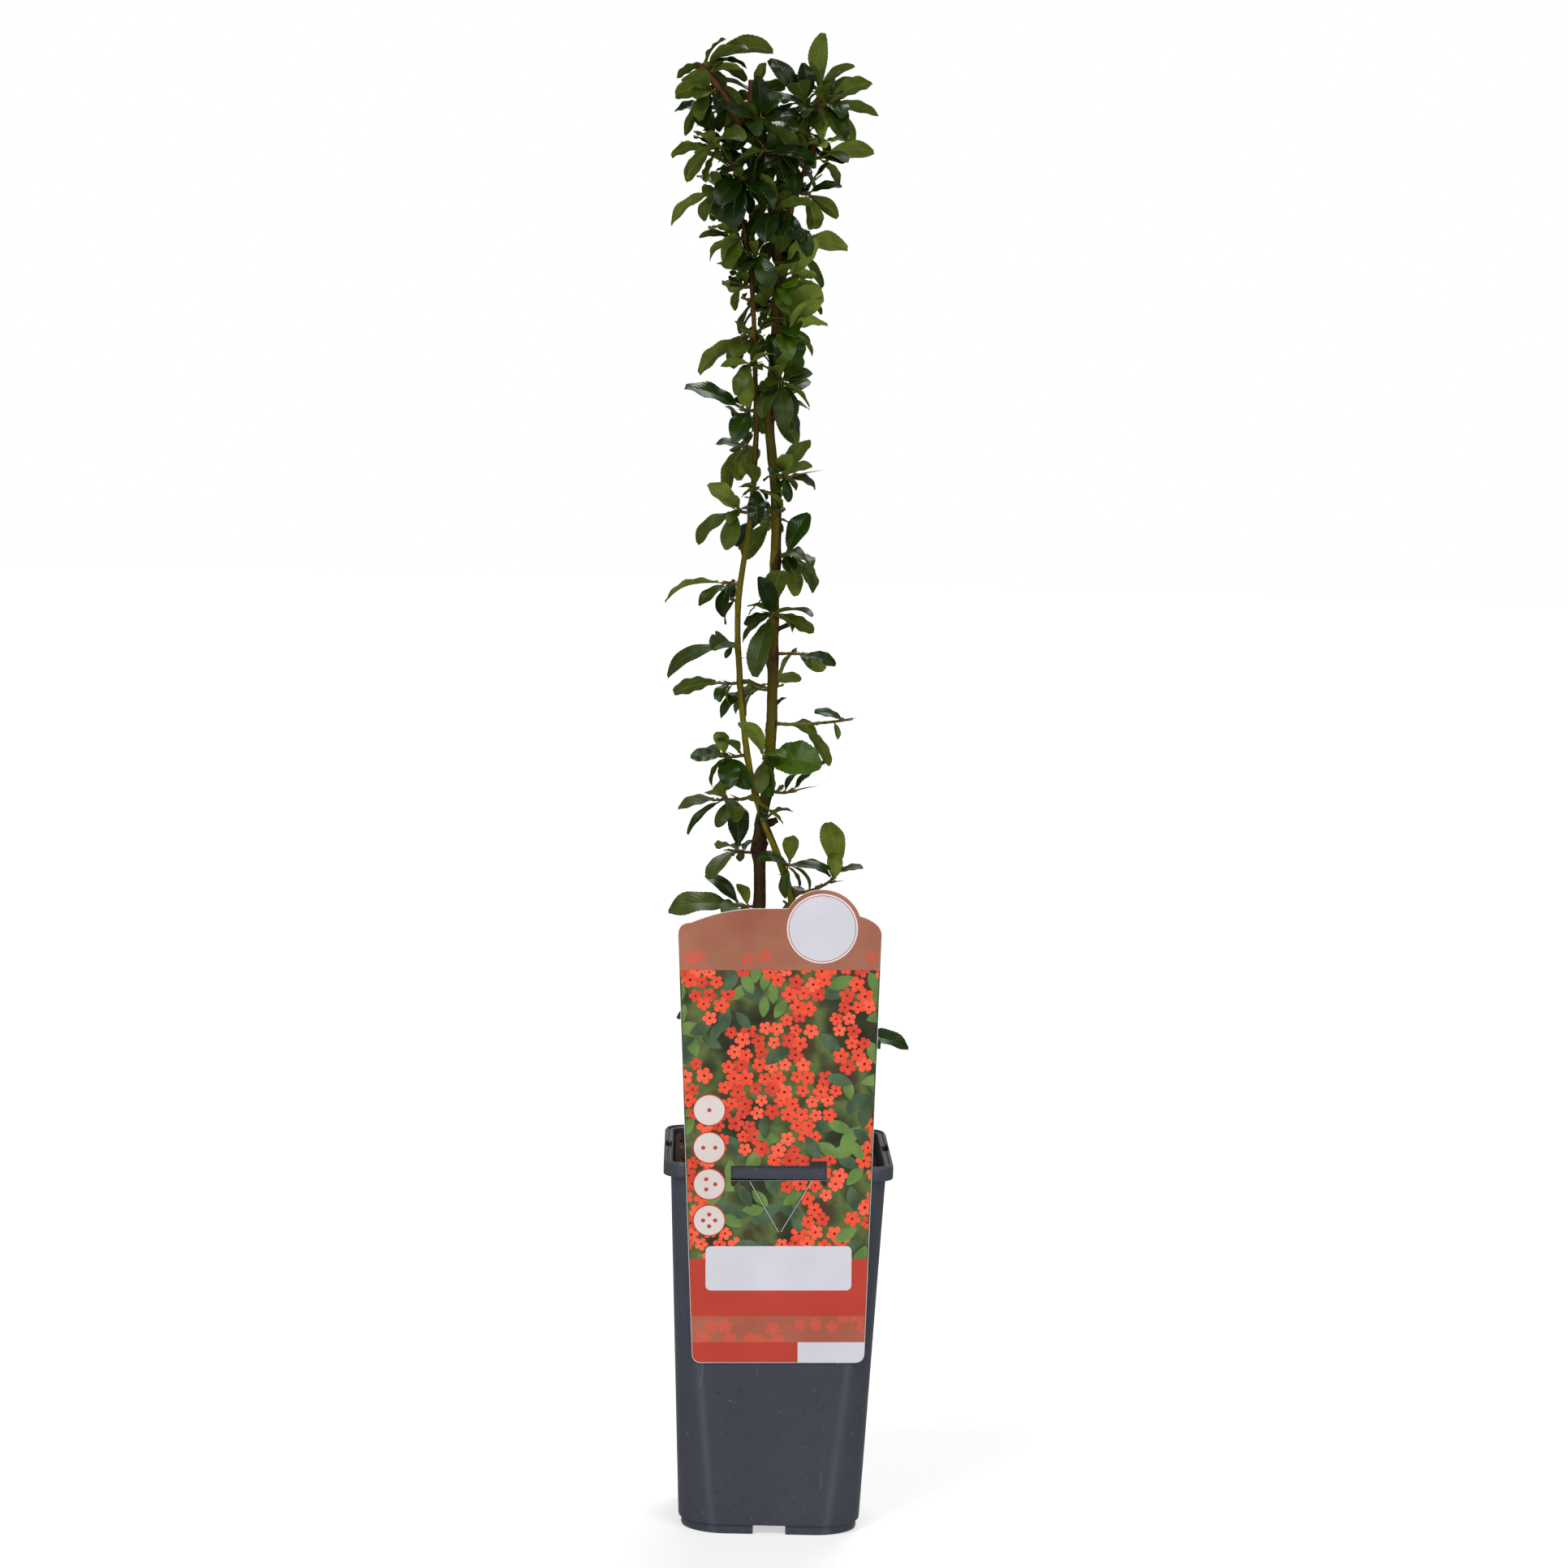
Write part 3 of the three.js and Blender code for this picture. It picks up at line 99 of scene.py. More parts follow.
# Spurs: limb, height, heading, twig length, rise, leaves, seed, leading leaves (heading, pitch, length,
# breadth, face), and the length of a stated thorn.
SPURS = [
    ("bough_top_left", 829, 60, 11, 75, 4, 74, [(4, 14, 37, 1.2, UNDER), (186, -22, 21, 1, UNDER)]),
    ("bough_top_left", 819, 196, 4, 5, 5, 12, [(184, -4, 20, 1.8, UNDER), (205, -58, 30, 1.1, UNDER)]),
    ("bough_top_left", 812, 152, 12, 5, 6, 13, [(172, -3, 20, 1.1, UPPER)]),
    ("stem_main", 816, 80, 7, 30, 4, 14, [(15, 12, 19, 1.6, UNDER)]),
    ("stem_main", 801, -62, 8, 15, 7, 15, [(-48, -12, 30, 1.05, UPPER), (-130, -40, 28, 1, UPPER)]),
    ("stem_second", 786, 184, 14, -8, 5, 16, [(186, -12, 22, 1.2, UNDER), (190, -50, 24, 1.2, UNDER)]),
    ("stem_second", 762, 178, 11, 0, 4, 17, [(182, -34, 33, 1.05, UNDER), (165, 14, 16, 0.9, UPPER)]),
    ("stem_second", 768, -58, 5, 0, 5, 18, [(-48, -30, 31, 1.1, UPPER), (-110, -66, 32, 1.15, UPPER)]),
    ("bough_top_middle", 817, 100, 6, 60, 4, 19, [(100, 80, 33, 0.9, UNDER), (8, 44, 25, 0.9, UNDER)]),
    ("bough_top_middle", 812, -16, 5, 20, 6, 20, [(-8, 32, 29, 1.2, UNDER), (6, 0, 31, 0.9, UNDER)]),
    ("bough_top_middle", 808, 176, 6, 45, 6, 21, [(176, 54, 33, 0.85, UPPER), (190, 12, 22, 1.1, UPPER)]),
    ("bough_top_middle", 782, 95, 22, 15, 8, 22, [(80, 5, 33, 1, UNDER)]),
    ("bough_top_right", 789, -30, 5, 60, 6, 23, [(95, 60, 17, 1.2, UPPER), (165, 52, 14, 1.2, UNDER)]),
    ("bough_top_right", 782, -12, 5, 10, 4, 24, [(-6, 12, 31, 1.1, UNDER), (-20, -62, 16, 1.3, UPPER)]),
    ("bough_top_right", 762, -6, 5, 10, 3, 25, [(2, 16, 21, 0.9, UPPER), (-16, -26, 23, 1.1, UNDER)]),
    ("stem_main", 782, -75, 15, 15, 8, 66, [(-30, -5, 31, 1.1, UPPER), (-150, 10, 28, 1, UNDER)]),
    ("stem_main", 750, -95, 12, 10, 8, 26, [(-100, -35, 33, 1.1, UPPER)]),
    ("stem_main", 766, 120, 16, 10, 8, 27, [(125, -5, 34, 1, UNDER)]),
    ("stem_second", 735, 186, 5, 0, 4, 28, [(184, 8, 21, 0.9, UPPER), (192, -32, 20, 1.4, UNDER)]),
    ("stem_main", 729, -4, 7, 60, 2, 29, [(-2, 4, 31, 1.3, UNDER), (35, -45, 31, 1, UPPER)]),
    ("stem_main", 712, -35, 6, 15, 3, 30, [(-28, 60, 28, 1.6, UNDER), (-12, 18, 17, 1.5, UNDER)]),
    ("stem_second", 708, 168, 6, 0, 2, 31, [(200, -76, 14, 1.5, UNDER)]),
    ("stem_main", 700, 96, 18, 10, 8, 32, [(88, -15, 33, 1, UNDER)]),
    ("stem_main", 683, -22, 6, 5, 3, 33, [(-24, 56, 32, 1.5, UNDER), (0, 18, 24, 1.8, UNDER)]),
    ("stem_second", 680, 190, 4, 5, 4, 34, [(186, -38, 34, 1.25, UNDER), (220, -72, 26, 1.3, UNDER)]),
    ("stem_main", 655, -53, 8, 20, 5, 35, [(-20, 30, 15, 1.5, UPPER), (-80, -60, 30, 1, UPPER)]),
    ("stem_second", 664, -108, 9, 10, 6, 67, [(-170, 0, 18, 1.4, UNDER), (-120, -74, 25, 1.2, UNDER)]),
    ("stem_main", 645, 60, 10, 0, 6, 36, [(22, -14, 20, 1.4, UPPER), (100, -10, 30, 1, UNDER)]),
    ("stem_second", 638, 178, 6, 10, 4, 37, [(178, 22, 36, 1.15, UPPER), (196, -20, 15, 1.8, UNDER)]),
    ("stem_second", 617, 160, 5, 0, 3, 38, [(172, 8, 17, 1.4, UPPER)]),
    ("stem_main", 600, -34, 6, 5, 1, 39, [(196, 4, 15, 1.3, UNDER), (-60, -70, 15, 1, UPPER)], 24),
    ("stem_second", 580, 196, 7, 10, 3, 40, [(190, 42, 23, 1.6, UNDER), (182, -33, 30, 1.05, UPPER)]),
    ("stem_main", 576, 92, 14, 10, 6, 41, [(96, -12, 32, 1, UNDER)]),
    ("stem_main", 556, -8, 4, 10, 2, 42, [(-4, 70, 28, 1.25, UPPER), (-22, -72, 24, 1.1, UNDER)]),
    ("stem_second", 539, 178, 8, 0, 2, 43, [(179, -13, 36, 1, UNDER), (190, -30, 21, 1.2, UPPER)]),
    ("stem_main", 523, -100, 6, 0, 3, 44, [(-118, -58, 40, 0.85, UPPER), (-150, -10, 22, 1.1, UPPER)]),
    ("stem_second", 504, 182, 8, 5, 1, 45, [(180, -26, 37, 0.9, UPPER), (168, 60, 10, 1, UPPER)]),
    ("stem_main", 500, 10, 15, 0, 1, 46, [(12, -16, 21, 1.2, UPPER), (-40, -20, 13, 0.8, UPPER)]),
    ("stem_second", 483, 176, 10, 5, 2, 47, [(180, -14, 28, 1.6, UNDER)]),
    ("stem_main", 478, 96, 24, 10, 5, 48, [(104, -14, 33, 1, UNDER)]),
    ("stem_main", 460, -10, 43, 12, 2, 49, [(176, 14, 18, 1.1, UPPER)], 8),
    ("stem_second", 442, 180, 13, 0, 3, 50, [(180, -2, 19, 1.4, UPPER), (205, -60, 20, 0.9, UNDER)]),
    ("stem_main", 440, -110, 6, 10, 3, 51, [(-35, 0, 38, 1.5, FRONT), (-100, -50, 24, 1, UPPER)]),
    ("stem_main", 421, 2, 12, 12, 1, 52, [(70, 10, 20, 1, UNDER)], 17),
    ("stem_second", 419, 186, 22, -6, 2, 53, [(182, -10, 24, 1.5, UPPER), (190, -34, 30, 0.6, UPPER)]),
    ("stem_main", 385, 140, 14, 0, 4, 54, [(110, -5, 32, 1, UNDER)]),
    ("stem_second", 379, -60, 8, 5, 2, 55, [(190, 24, 20, 1.4, UPPER), (-14, -4, 25, 1, UPPER)]),
    ("stem_second", 362, -4, 32, 58, 1, 56, [(4, 12, 15, 1.2, UPPER), (160, 32, 19, 1, UPPER)]),
    ("stem_main", 354, 188, 10, 5, 4, 57, [(184, -2, 40, 1.25, UPPER), (172, 44, 27, 1, UPPER)]),
    ("stem_second", 280, 12, 26, 0, 6, 58, [(2, -8, 36, 1, UPPER)]),
    ("stem_main", 285, 150, 20, 10, 6, 59, [(140, 0, 34, 1, UNDER)]),
    ("stem_main", 318, 84, 42, 10, 7, 60, [(85, -10, 34, 1, UNDER)]),
]
FRESH_SPUR = 12  # the one whose leaves are still young
# The crown's space: heights, and how far tips may reach at each to the left, the right, and front and back.
REACH = SimpleNamespace(
    height=(260, 350, 440, 520, 600, 700, 760, 800, 835, 850),
    left=(-62, -58, -50, -46, -38, -38, -66, -70, -66, -50),
    right=(62, 42, 32, 22, 16, 18, 26, 36, 34, 14),
    deep=(80, 60, 42, 38, 36, 42, 54, 60, 50, 30))

SPIRAL = 137.5
TWIG_STEP = 7
SIDE_TWIG_SPACING = 12
FORK_TURN = (50, 70)
FORK_LENGTH = (7, 12)
FORK_RISE = 20
WANDER = 12
THORN_LENGTH = (7.2, 10.8)
THORN_TURN = 55
THORN_PITCH = 12
THORN_PLACE = SimpleNamespace(end=0.9, side=0.35)
THORN_SKEW = 6
SLIMNESS = 0.2
LIGHT = (-0.12, 0.86)
STEEP = 0.25
LEAD = SimpleNamespace(arch=(24, 58), roll=(-15, 15), foot=0.9, spacing=0.15, turns=(0, 12, -12))
GROWN = SimpleNamespace(
    length=(20.4, 32.4), breadth=(0.9, 1.3), arch=(20, 60), roll=(-30, 30), forward=(0.3, 0.9), droop=0.12,
    turn=(0, 40), foot=0.92, spread=0.7, fresh_size=0.55)
PETIOLE = 0.12
WIDEST = 0.58
STALK = 0.06
FULLNESS = 0.68
SPOTS_ALONG = np.array([0.3, 0.45, 0.6, 0.75, 0.88, 1])
SPOTS_ACROSS = np.array([-1, -0.5, 0, 0.5, 1])
# Clear space of a leaf: above it, past its edges, and from limbs, others' twigs and its own spur's.
ROOM = SimpleNamespace(gap=2.4, margin=1.6, limb=1, twig=2.4, own=1.6)
TRIES = 5

# ---------------------------------------------------------------- sizes of what only the looks have

# Further leaves, which fill the spurs and the shoots out: the chance of one at each height, what all of
# them share, and the rounds, each with smaller leaves that may stand closer.
FILL = ((0, 430, 600, 740, 900), (0.12, 0.14, 0.3, 0.85, 0.95))
FILLER = SimpleNamespace(
    foot=(0.1, 0.98), forward=(0.1, 0.8), arch=(20, 75), roll=(-40, 40), first=3, fresh=16, seed=1000)


def tight(gap, margin, twig):
    """Less clear space than a first leaf has."""
    return SimpleNamespace(gap=gap, margin=margin, limb=0.2, twig=twig, own=twig)


ROUNDS = (
    SimpleNamespace(count=6, length=(20, 31), breadth=(0.95, 1.35), tries=9, room=tight(1.5, 0.8, 0.9)),
    SimpleNamespace(count=6, length=(14, 22), breadth=(1, 1.4), tries=9, room=tight(1.1, 0.6, 0.8)),
    SimpleNamespace(count=5, length=(7, 14), breadth=(1, 1.4), tries=7, room=tight(0.9, 0.5, 0.7)))
NEAR = 90  # leaves whose feet are further apart than this can't touch
# Where the sky shows through the crown, or a bare bough in front: place to the right, height, radius.
OPENINGS = (
    (-25, 829, 6), (19, 839, 7), (-62, 836, 6), (23, 793, 8), (14, 770, 8), (2, 772, 4), (6, 758, 5),
    (10, 749, 6), (-1, 746, 4), (-67, 799, 6), (-54, 775, 4), (-56, 731, 4), (-38, 697, 8), (-40, 595, 5),
    (1, 584, 8), (-42, 546, 8), (-17, 535, 4), (-2, 507, 7), (11, 502, 7), (0, 492, 6), (-41, 487, 6),
    (-12, 471, 4))
BARE = ((-56, 828, 4), (-49, 821, 5), (-41, 813, 5), (-30, 816, 5))
# Short shoots between the spurs. spacings are (from which height, spacing), and spots are the shares of its
# length at which a shoot has to be clear.
SHOOTS = SimpleNamespace(
    spacings=((740, 10), (640, 20), (0, 60)), jitter=(0.8, 1.2), low=290, tip=2, turn=(-30, 30), depth=0.8,
    length=(2.5, 7), rise=25, largest=24, spots=(0.3, 0.5, 0.75, 1), room=tight(1.4, 1.4, 1.4),
    first=100, seed=17)
FULL_TURN = 6.3  # near enough, where chance sets a direction
SEEDS = SimpleNamespace(crumbs=5, print=31, limb_thorns=61, spray=77, twigs=4000, leaves=9000)

# Bark: the sides of limbs and boughs, and ridges as (share of the radius, how fine along each axis).
LIMB_SIDES = SimpleNamespace(stem=20, bough=14)
RIDGES = ((0.1, (0.5, 0.5, 0.07)), (0.05, (1.6, 1.6, 0.5)))
# Heights and widths of the swelling and the scar under a spur, and how dark bark is round spurs and knots.
UNDER_SPUR = SimpleNamespace(
    swelling=0.42, swelling_width=3.2, scar=0.16, scar_width=0.9, scar_below=3, dark=0.1, dark_side=0.6,
    dark_width=2.6)
KNOT = SimpleNamespace(width=4.5, back=0.35, dark=1.2)
TWIG_RADII = ((1.15, 0.72), (0.85, 0.6))  # of a spur's first twig and of its side twigs
# Places along a bud and a thorn, and the width there in shares of the radius.
BUD_SHAPE = ((0, 0.5), (0.2, 0.95), (0.5, 1), (0.8, 0.6), (1, 0.08))
THORN_SHAPE = ((0, 1.7), (0.06, 1.2), (0.15, 0.95), (0.35, 0.75), (0.6, 0.5), (0.82, 0.28), (1, 0.05))
THORN_RADII = SimpleNamespace(spur=0.62, twig=0.45, limb=0.34)
THORN_STEP = 24  # spacing of the little thorns on the limbs

# Blades: leaves shorter than small have fewer stations, and the ranges are drawn for each leaf.
BLADE = SimpleNamespace(
    thickness=0.34, stations=29, tooth=0.045, small=16, small_stations=17, fold=(0.12, 0.42), waves=(2, 4),
    ripple=(0.02, 0.1), twist=(-22, 22), fullness=(0.42, 0.62), recurve=(0, 0.22), curl=(-0.02, 0.14))
COLUMNS = np.array([-1, -0.55, -0.09, 0, 0.09, 0.55, 1])
SMALL_COLUMNS = np.array([-1, -0.5, 0, 0.5, 1])
STALK_SHAPE = ((0, 0.1, 0.2, 1), (0.52, 0.42, 0.3, 0.08))  # shares of the leaf's length, and radii there

# Tints: darker and lighter green of the upper side, its roughness, and the two greens of the lower side.
LEAF_TINTS = {
    "deep": ((12, 25, 2), (19, 37, 4), 0.22, (60, 72, 20), (76, 89, 30)),
    "green": ((20, 38, 2), (31, 53, 4), 0.26, (70, 83, 24), (88, 102, 35)),
    "moss": ((32, 46, 4), (45, 60, 8), 0.36, (74, 86, 26), (92, 105, 37)),
    "olive": ((46, 57, 8), (61, 73, 14), 0.4, (84, 97, 32), (103, 117, 44)),
    "young": ((34, 58, 2), (60, 84, 3), 0.4, (90, 106, 36), (111, 127, 50)),
    "fresh": ((82, 108, 22), (106, 130, 38), 0.42, (112, 132, 50), (130, 148, 66)),
}
# The midrib, in shares of the blade's width from its middle; mottle is the noise's scale and detail.
RIB_MIDDLE, RIB_UPPER, RIB_LOWER = 0.012, (96, 112, 30), (132, 140, 58)
UPPER_SIDE = SimpleNamespace(specular=0.2, rib_edge=0.03, rib_share=0.4, mottle=(170, 3), vein_depth=0.07)
LOWER_SIDE = SimpleNamespace(specular=0.07, rib_edge=0.04, rib_share=0.6, mottle=(140, 2), vein_depth=-0.06)
# The chances of the tints, each up to its number, and what shifts them.
TINT_SHARES = (("deep", 0.36), ("green", 0.58), ("moss", 0.78), ("olive", 0.95), ("young", 2))
# The spurs whose sprays have a tint of their own, by the number of their node.
TINTED = {
    "deep": (3, 5, 8, 11, 16, 17, 18, 23, 28, 33, 35, 36),
    "green": (10, 15, 29, 31, 38, 41, 42, 44, 46),
    "moss": (1, 4, 13, 14, 22, 26, 30, 34, 37, 39, 40, 47, 48),
    "olive": (2, 6, 7, 9, 19, 20, 25, 27, 32, 45, 49),
    "young": (21, 24, 43),
}
# kept is the share of such a spray's leaves that have its tint, and spray the weight of the spray's chance.
TINTING = SimpleNamespace(kept=0.75, spray=0.6, small=18, small_shift=0.12, high=740, high_shift=-0.1)

# Plain materials: two colours, the noise's scale, roughness, and where needed relief and specular.
PLAIN_PAINTS = {
    "cut_wood": ((150, 122, 74), (176, 148, 96), 900, 0.7, 0.1),
    "twig_bark": ((80, 84, 18), (88, 50, 26), 28, 0.5, 0.1, 0.15),
    "thorn": ((62, 36, 20), (96, 72, 34), 60, 0.42),
    "bud": ((86, 52, 26), (104, 88, 34), 300, 0.5),
    "leaf_stalk": ((76, 86, 28), (92, 98, 36), 200, 0.45),
    "compost": ((34, 21, 14), (58, 36, 24), 320, 0.95, 0.6, 0.2),
    "compost_chip": ((70, 44, 26), (104, 74, 46), 300, 0.9, 0.3, 0.2),
    "compost_fibre": ((120, 88, 52), (160, 128, 84), 300, 0.8, 0, 0.3),
}

# What lies on the pot's plastic: the noise's scale and detail, from where to where it rises, and its
# stretch, and then the layer's share and colour.
POT_LAYERS = (
    ((260, 3, 0.6, 0.72), 0.3, (34, 34, 38)),  # grime
    ((620, 2, 0.7, 0.74), 0.8, (26, 23, 22)),  # specks of soil
    ((480, 1, 0.75, 0.79, (1.3, 1.3, 1)), 0.6, (122, 126, 132)),  # pale specks
    ((230, 2, 0.7, 0.75, (1, 1, 0.06)), 0.35, (96, 100, 110)),  # scratches
)
POT_SHARP = 32  # degrees from which the shell's edges are sharp
CORNER_HIGHLIGHT = SimpleNamespace(width=4.2, share=0.24, inset=0.8)  # painted highlights along the pot's corners, where their rounding starts

# Compost: the wavelengths of the bed's relief, the strip along its edge and its depth; a heap at the left.
BED = SimpleNamespace(wide=22, fine=5, edge=12, skirt=14)
HEAP = SimpleNamespace(start=-24, run=30, rise=7.5)
CRUMBS = SimpleNamespace(
    count=1500, margin=3, least=0.5, range=1.9, stretch=((0.7, 1.6), (0.6, 1.2), (0.4, 0.8)), pale=0.3)
FIBRES = SimpleNamespace(
    count=90, margin=12, edge=4, steps=8, bend=(-14, 14), length=(5, 17), radius=(0.16, 0.4), lift=0.5,
    bow=1.1, long=9)  # those longer than long are bowed

# Print: inks as two colours and the noise's scale, and the field's ground as (place, colour).
INK_LAYER = 0.012
INKS = {
    "card": ((196, 196, 196), (204, 204, 204), 30),
    "header": ((134, 76, 54), (152, 98, 76), 22),
    "header_leaf": ((140, 92, 66), (148, 100, 74), 30),
    "header_red": ((172, 78, 56), (182, 86, 62), 30),
    "band": ((164, 50, 34), (170, 54, 37), 30),
    "strip": ((148, 76, 56), (160, 90, 68), 30),
    "strip_red": ((178, 74, 54), (186, 82, 60), 30),
    "leaf_a": ((78, 106, 46), (100, 128, 64), 90),
    "leaf_b": ((50, 68, 44), (74, 96, 68), 90),
    "red_a": ((212, 62, 34), (222, 74, 46), 200),
    "red_b": ((222, 76, 48), (230, 92, 66), 200),
    "red_c": ((188, 50, 30), (206, 62, 38), 200),
    "eye": ((84, 28, 18), (106, 36, 22), 200),
    "pale": ((190, 180, 176), (198, 188, 184), 30),
    "panel": ((184, 182, 190), (191, 189, 198), 30),
    # dark ink where the card's cuts and ear holes are: painted shade in place of the gaps
    "slit_shade": ((30, 28, 20), (36, 34, 24), 30),
}
FIELD_INK = ((0.3, (30, 28, 20)), (0.42, (50, 58, 30)), (0.52, (84, 98, 50)), (0.6, (60, 58, 34)),
             (0.7, (66, 42, 32)))
# Small motifs: flowers, but leaves where the pattern's noise is under open. Their inks are those of the
# leaves, of the flowers and of the flowers' middles.
MOTIF = SimpleNamespace(
    spacing=8.6, size=(3.6, 4.9), open=-0.08, header_thick=0.3, badge_room=27, top=133, strip_share=0.45)
MOTIF_INKS = {
    "field": (("leaf_a", "leaf_b"), ("red_a", "red_b", "red_c"), "eye"),
    "header": (("header_leaf",) * 2, ("header_red",) * 3, "header_red"),
    "strip": (("strip",) * 2, ("strip_red",) * 3, "strip_red"),
}
BADGE = (("card", 19.8), ("band", 18.9), ("panel", 18.5))  # discs on one another, by radius
DISCS = SimpleNamespace(
    x=-39.2, heights=(36.6, 14.9, -6.3, -27.3), rim=9.3, face=8.6, dot=1.2, dots_out=3.4)
PANEL = (-41.2, 41.2, -68.2, -42.3, 3)  # left, right, foot, top, corner radius

CAMERA = SimpleNamespace(
    distance=2.5, height=0.655575, aside=-0.001397, azimuth=1.228, tilt=5.259, roll=1.483, lens=100.61,
    sensor=36)
# Lights: name, place, strength, and for a sun its width in degrees.
STUDIO = SimpleNamespace(
    ambient=0.22, wall=1.0, reach=12, floor=0.45, glow=0.55,
    suns=(("sun_left", (-2.8, -4.4, 5), 1.55, 20),
          ("sun_right", (2.6, -4.2, 4), 0.95, 28),
          ("sun_back", (0.6, 3, 5), 1.9, 28)),
    boxes=(("box_left", (-0.95, -2.2, 0.5), 7), ("box_right", (0.95, -2.2, 0.5), 6)))


# ---------------------------------------------------------------- vectors and chance


def vector(*numbers):
    return np.array(numbers, float)


def unit(v):
    return v / math.sqrt(v @ v)


def lerp(a, b, share):
    return a + (b - a) * share


def flat_to(v, normal):
    """v without its part along normal."""
    return v - normal * ((v @ normal) / (normal @ normal))


def turned(v, axis, angle):
    """v turned about a unit axis, in radians."""
    c, s = math.cos(angle), math.sin(angle)
    return v * c + np.cross(axis, v) * s + axis * ((axis @ v) * (1 - c))


def heading(degrees, pitch=0):
    a, b = math.radians(degrees), math.radians(pitch)
    return vector(math.cos(a) * math.cos(b), math.sin(a) * math.cos(b), math.sin(b))


def turned_2d(x, y, angle):
    return x * math.cos(angle) - y * math.sin(angle), x * math.sin(angle) + y * math.cos(angle)


def circle(radius, steps):
    angles = [2 * math.pi * k / steps for k in range(steps)]
    return [(radius * math.cos(a), radius * math.sin(a)) for a in angles]


def seeded(seed):
    """Random numbers from 0 to 1 that a seed fixes."""
    mask = 0xFFFFFFFF
    state = seed & mask

    def draw():
        nonlocal state
        state = (state + 0x6D2B79F5) & mask
        t = state
        t = ((t ^ (t >> 15)) * (t | 1)) & mask
        t ^= (t + (((t ^ (t >> 7)) * (t | 61)) & mask)) & mask
        return ((t ^ (t >> 14)) & mask) / 4294967296

    return draw


def pick(random, ends):
    return ends[0] + (ends[1] - ends[0]) * random()


# ---------------------------------------------------------------- limbs


def curve_point(points, share):
    """A point of the smooth curve through points, as a Catmull-Rom curve."""
    place = (len(points) - 1) * share
    i = min(int(place), len(points) - 2)
    t = place - i
    p1, p2 = points[i], points[i + 1]
    p0 = points[i - 1] if i else 2 * p1 - p2
    p3 = points[i + 2] if i + 2 < len(points) else 2 * p2 - p1
    t0, t1 = (p2 - p0) / 2, (p3 - p1) / 2
    return p1 + t0 * t + (3 * (p2 - p1) - 2 * t0 - t1) * t**2 + (2 * (p1 - p2) + t0 + t1) * t**3


def curve(points, count):
    return np.array([curve_point(points, i / count) for i in range(count + 1)])


def even_steps(ends, count):
    return np.array([lerp(*ends, i / count) for i in range(count + 1)])


def limb_at(limb, z):
    """Point, direction and radius of a limb at a height, on its stretches of LIMB_STEP."""
    line = limb.line
    i = next((k for k in range(1, len(line)) if line[k][2] >= z), 0)
    i = max(0, i - 1)
    a, b = line[i], line[i + 1]
    share = min(max((z - a[2]) / (b[2] - a[2]), 0), 1)
    return SimpleNamespace(
        point=lerp(a, b, share), along=unit(b - a), radius=lerp(limb.sizes[i], limb.sizes[i + 1], share))


def make_limb(name, limbs):
    """A limb's smooth route, and the place on its carrier where it starts."""
    made = LIMBS[name]
    points = [vector(*p) for p in made["route"]]
    carrier = None
    if "carrier" in made:
        carrier = limb_at(limbs[made["carrier"]], made["height"])
        facing = (points[0] - carrier.point) * (1, 1, 0)
        points.insert(0, carrier.point + unit(facing) * (carrier.radius + CLEAR + 2 * SEAT))
    else:
        points[0][2] = COMPOST_TOP + CLEAR
    length = sum(math.dist(a, b) for a, b in zip(points, points[1:]))
    count = max(LIMB_LEAST, round(length / LIMB_STEP))
    return SimpleNamespace(
        name=name, points=points, line=curve(points, count), sizes=even_steps(made["radii"], count),
        length=length, radii=made["radii"], carrier=carrier, is_stem=carrier is None)


# ---------------------------------------------------------------- leaves and spurs


def twig_line(foot, out, to, length, rise, random):
    count = max(2, math.ceil(length / TWIG_STEP))
    line = [foot]
    turn = to
    for i in range(count):
        along = heading(turn, rise * (i + 0.5) / count) if i else out
        line.append(line[i] + along * (length / count))
        turn += pick(random, (-WANDER, WANDER))
    return np.array(line)


def point_on(line, share):
    place = share * (len(line) - 1)
    i = min(int(place), len(line) - 2)
    return lerp(line[i], line[i + 1], place - i)


def make_leaf(foot, along, length, breadth, face, bend, roll):
    normal = flat_to(unit(vector(LIGHT[0], face, LIGHT[1])), along)
    if math.sqrt(normal @ normal) < STEEP:
        normal = flat_to(vector(0, math.copysign(1, face), 0), along)
    normal = turned(unit(normal), along, roll)
    return SimpleNamespace(
        foot=foot, along=along, side=np.cross(along, normal), normal=normal, length=length,
        half=length * SLIMNESS * breadth, bend=bend, chord=length * math.sin(bend / 2) / (bend / 2))


def arch_at(length, bend, share):
    """Distances of the blade's middle along its chord and above it."""
    bow = length / bend
    angle = bend * (share - 0.5)
    return bow * (np.sin(angle) + np.sin(bend / 2)), bow * (np.cos(angle) - np.cos(bend / 2))


def blade_half(half, share, fullness=FULLNESS):
    s = np.maximum(0, (share - PETIOLE) / (1 - PETIOLE))
    bulge = np.sin(np.pi * s ** (math.log(0.5) / math.log(WIDEST)))
    return half * np.maximum(STALK, bulge) ** fullness


def in_reach(leaf):
    """Does a leaf's tip lie in the crown's space?"""
    x, y, z = leaf.foot + leaf.chord * leaf.along
    left, right, deep = (np.interp(z, REACH.height, row) for row in (REACH.left, REACH.right, REACH.deep))
    return z <= REACH.height[-1] and left < x < right and abs(y) < deep


def spots_of(leaf):
    """Spots on a blade that have to stay clear of everything else."""
    u, w = arch_at(leaf.length, leaf.bend, SPOTS_ALONG)
    across = blade_half(leaf.half, SPOTS_ALONG)[:, None] * SPOTS_ACROSS
    middle = leaf.foot + u[:, None] * leaf.along + w[:, None] * leaf.normal
    return (middle[:, None, :] + across[:, :, None] * leaf.side).reshape(-1, 3)


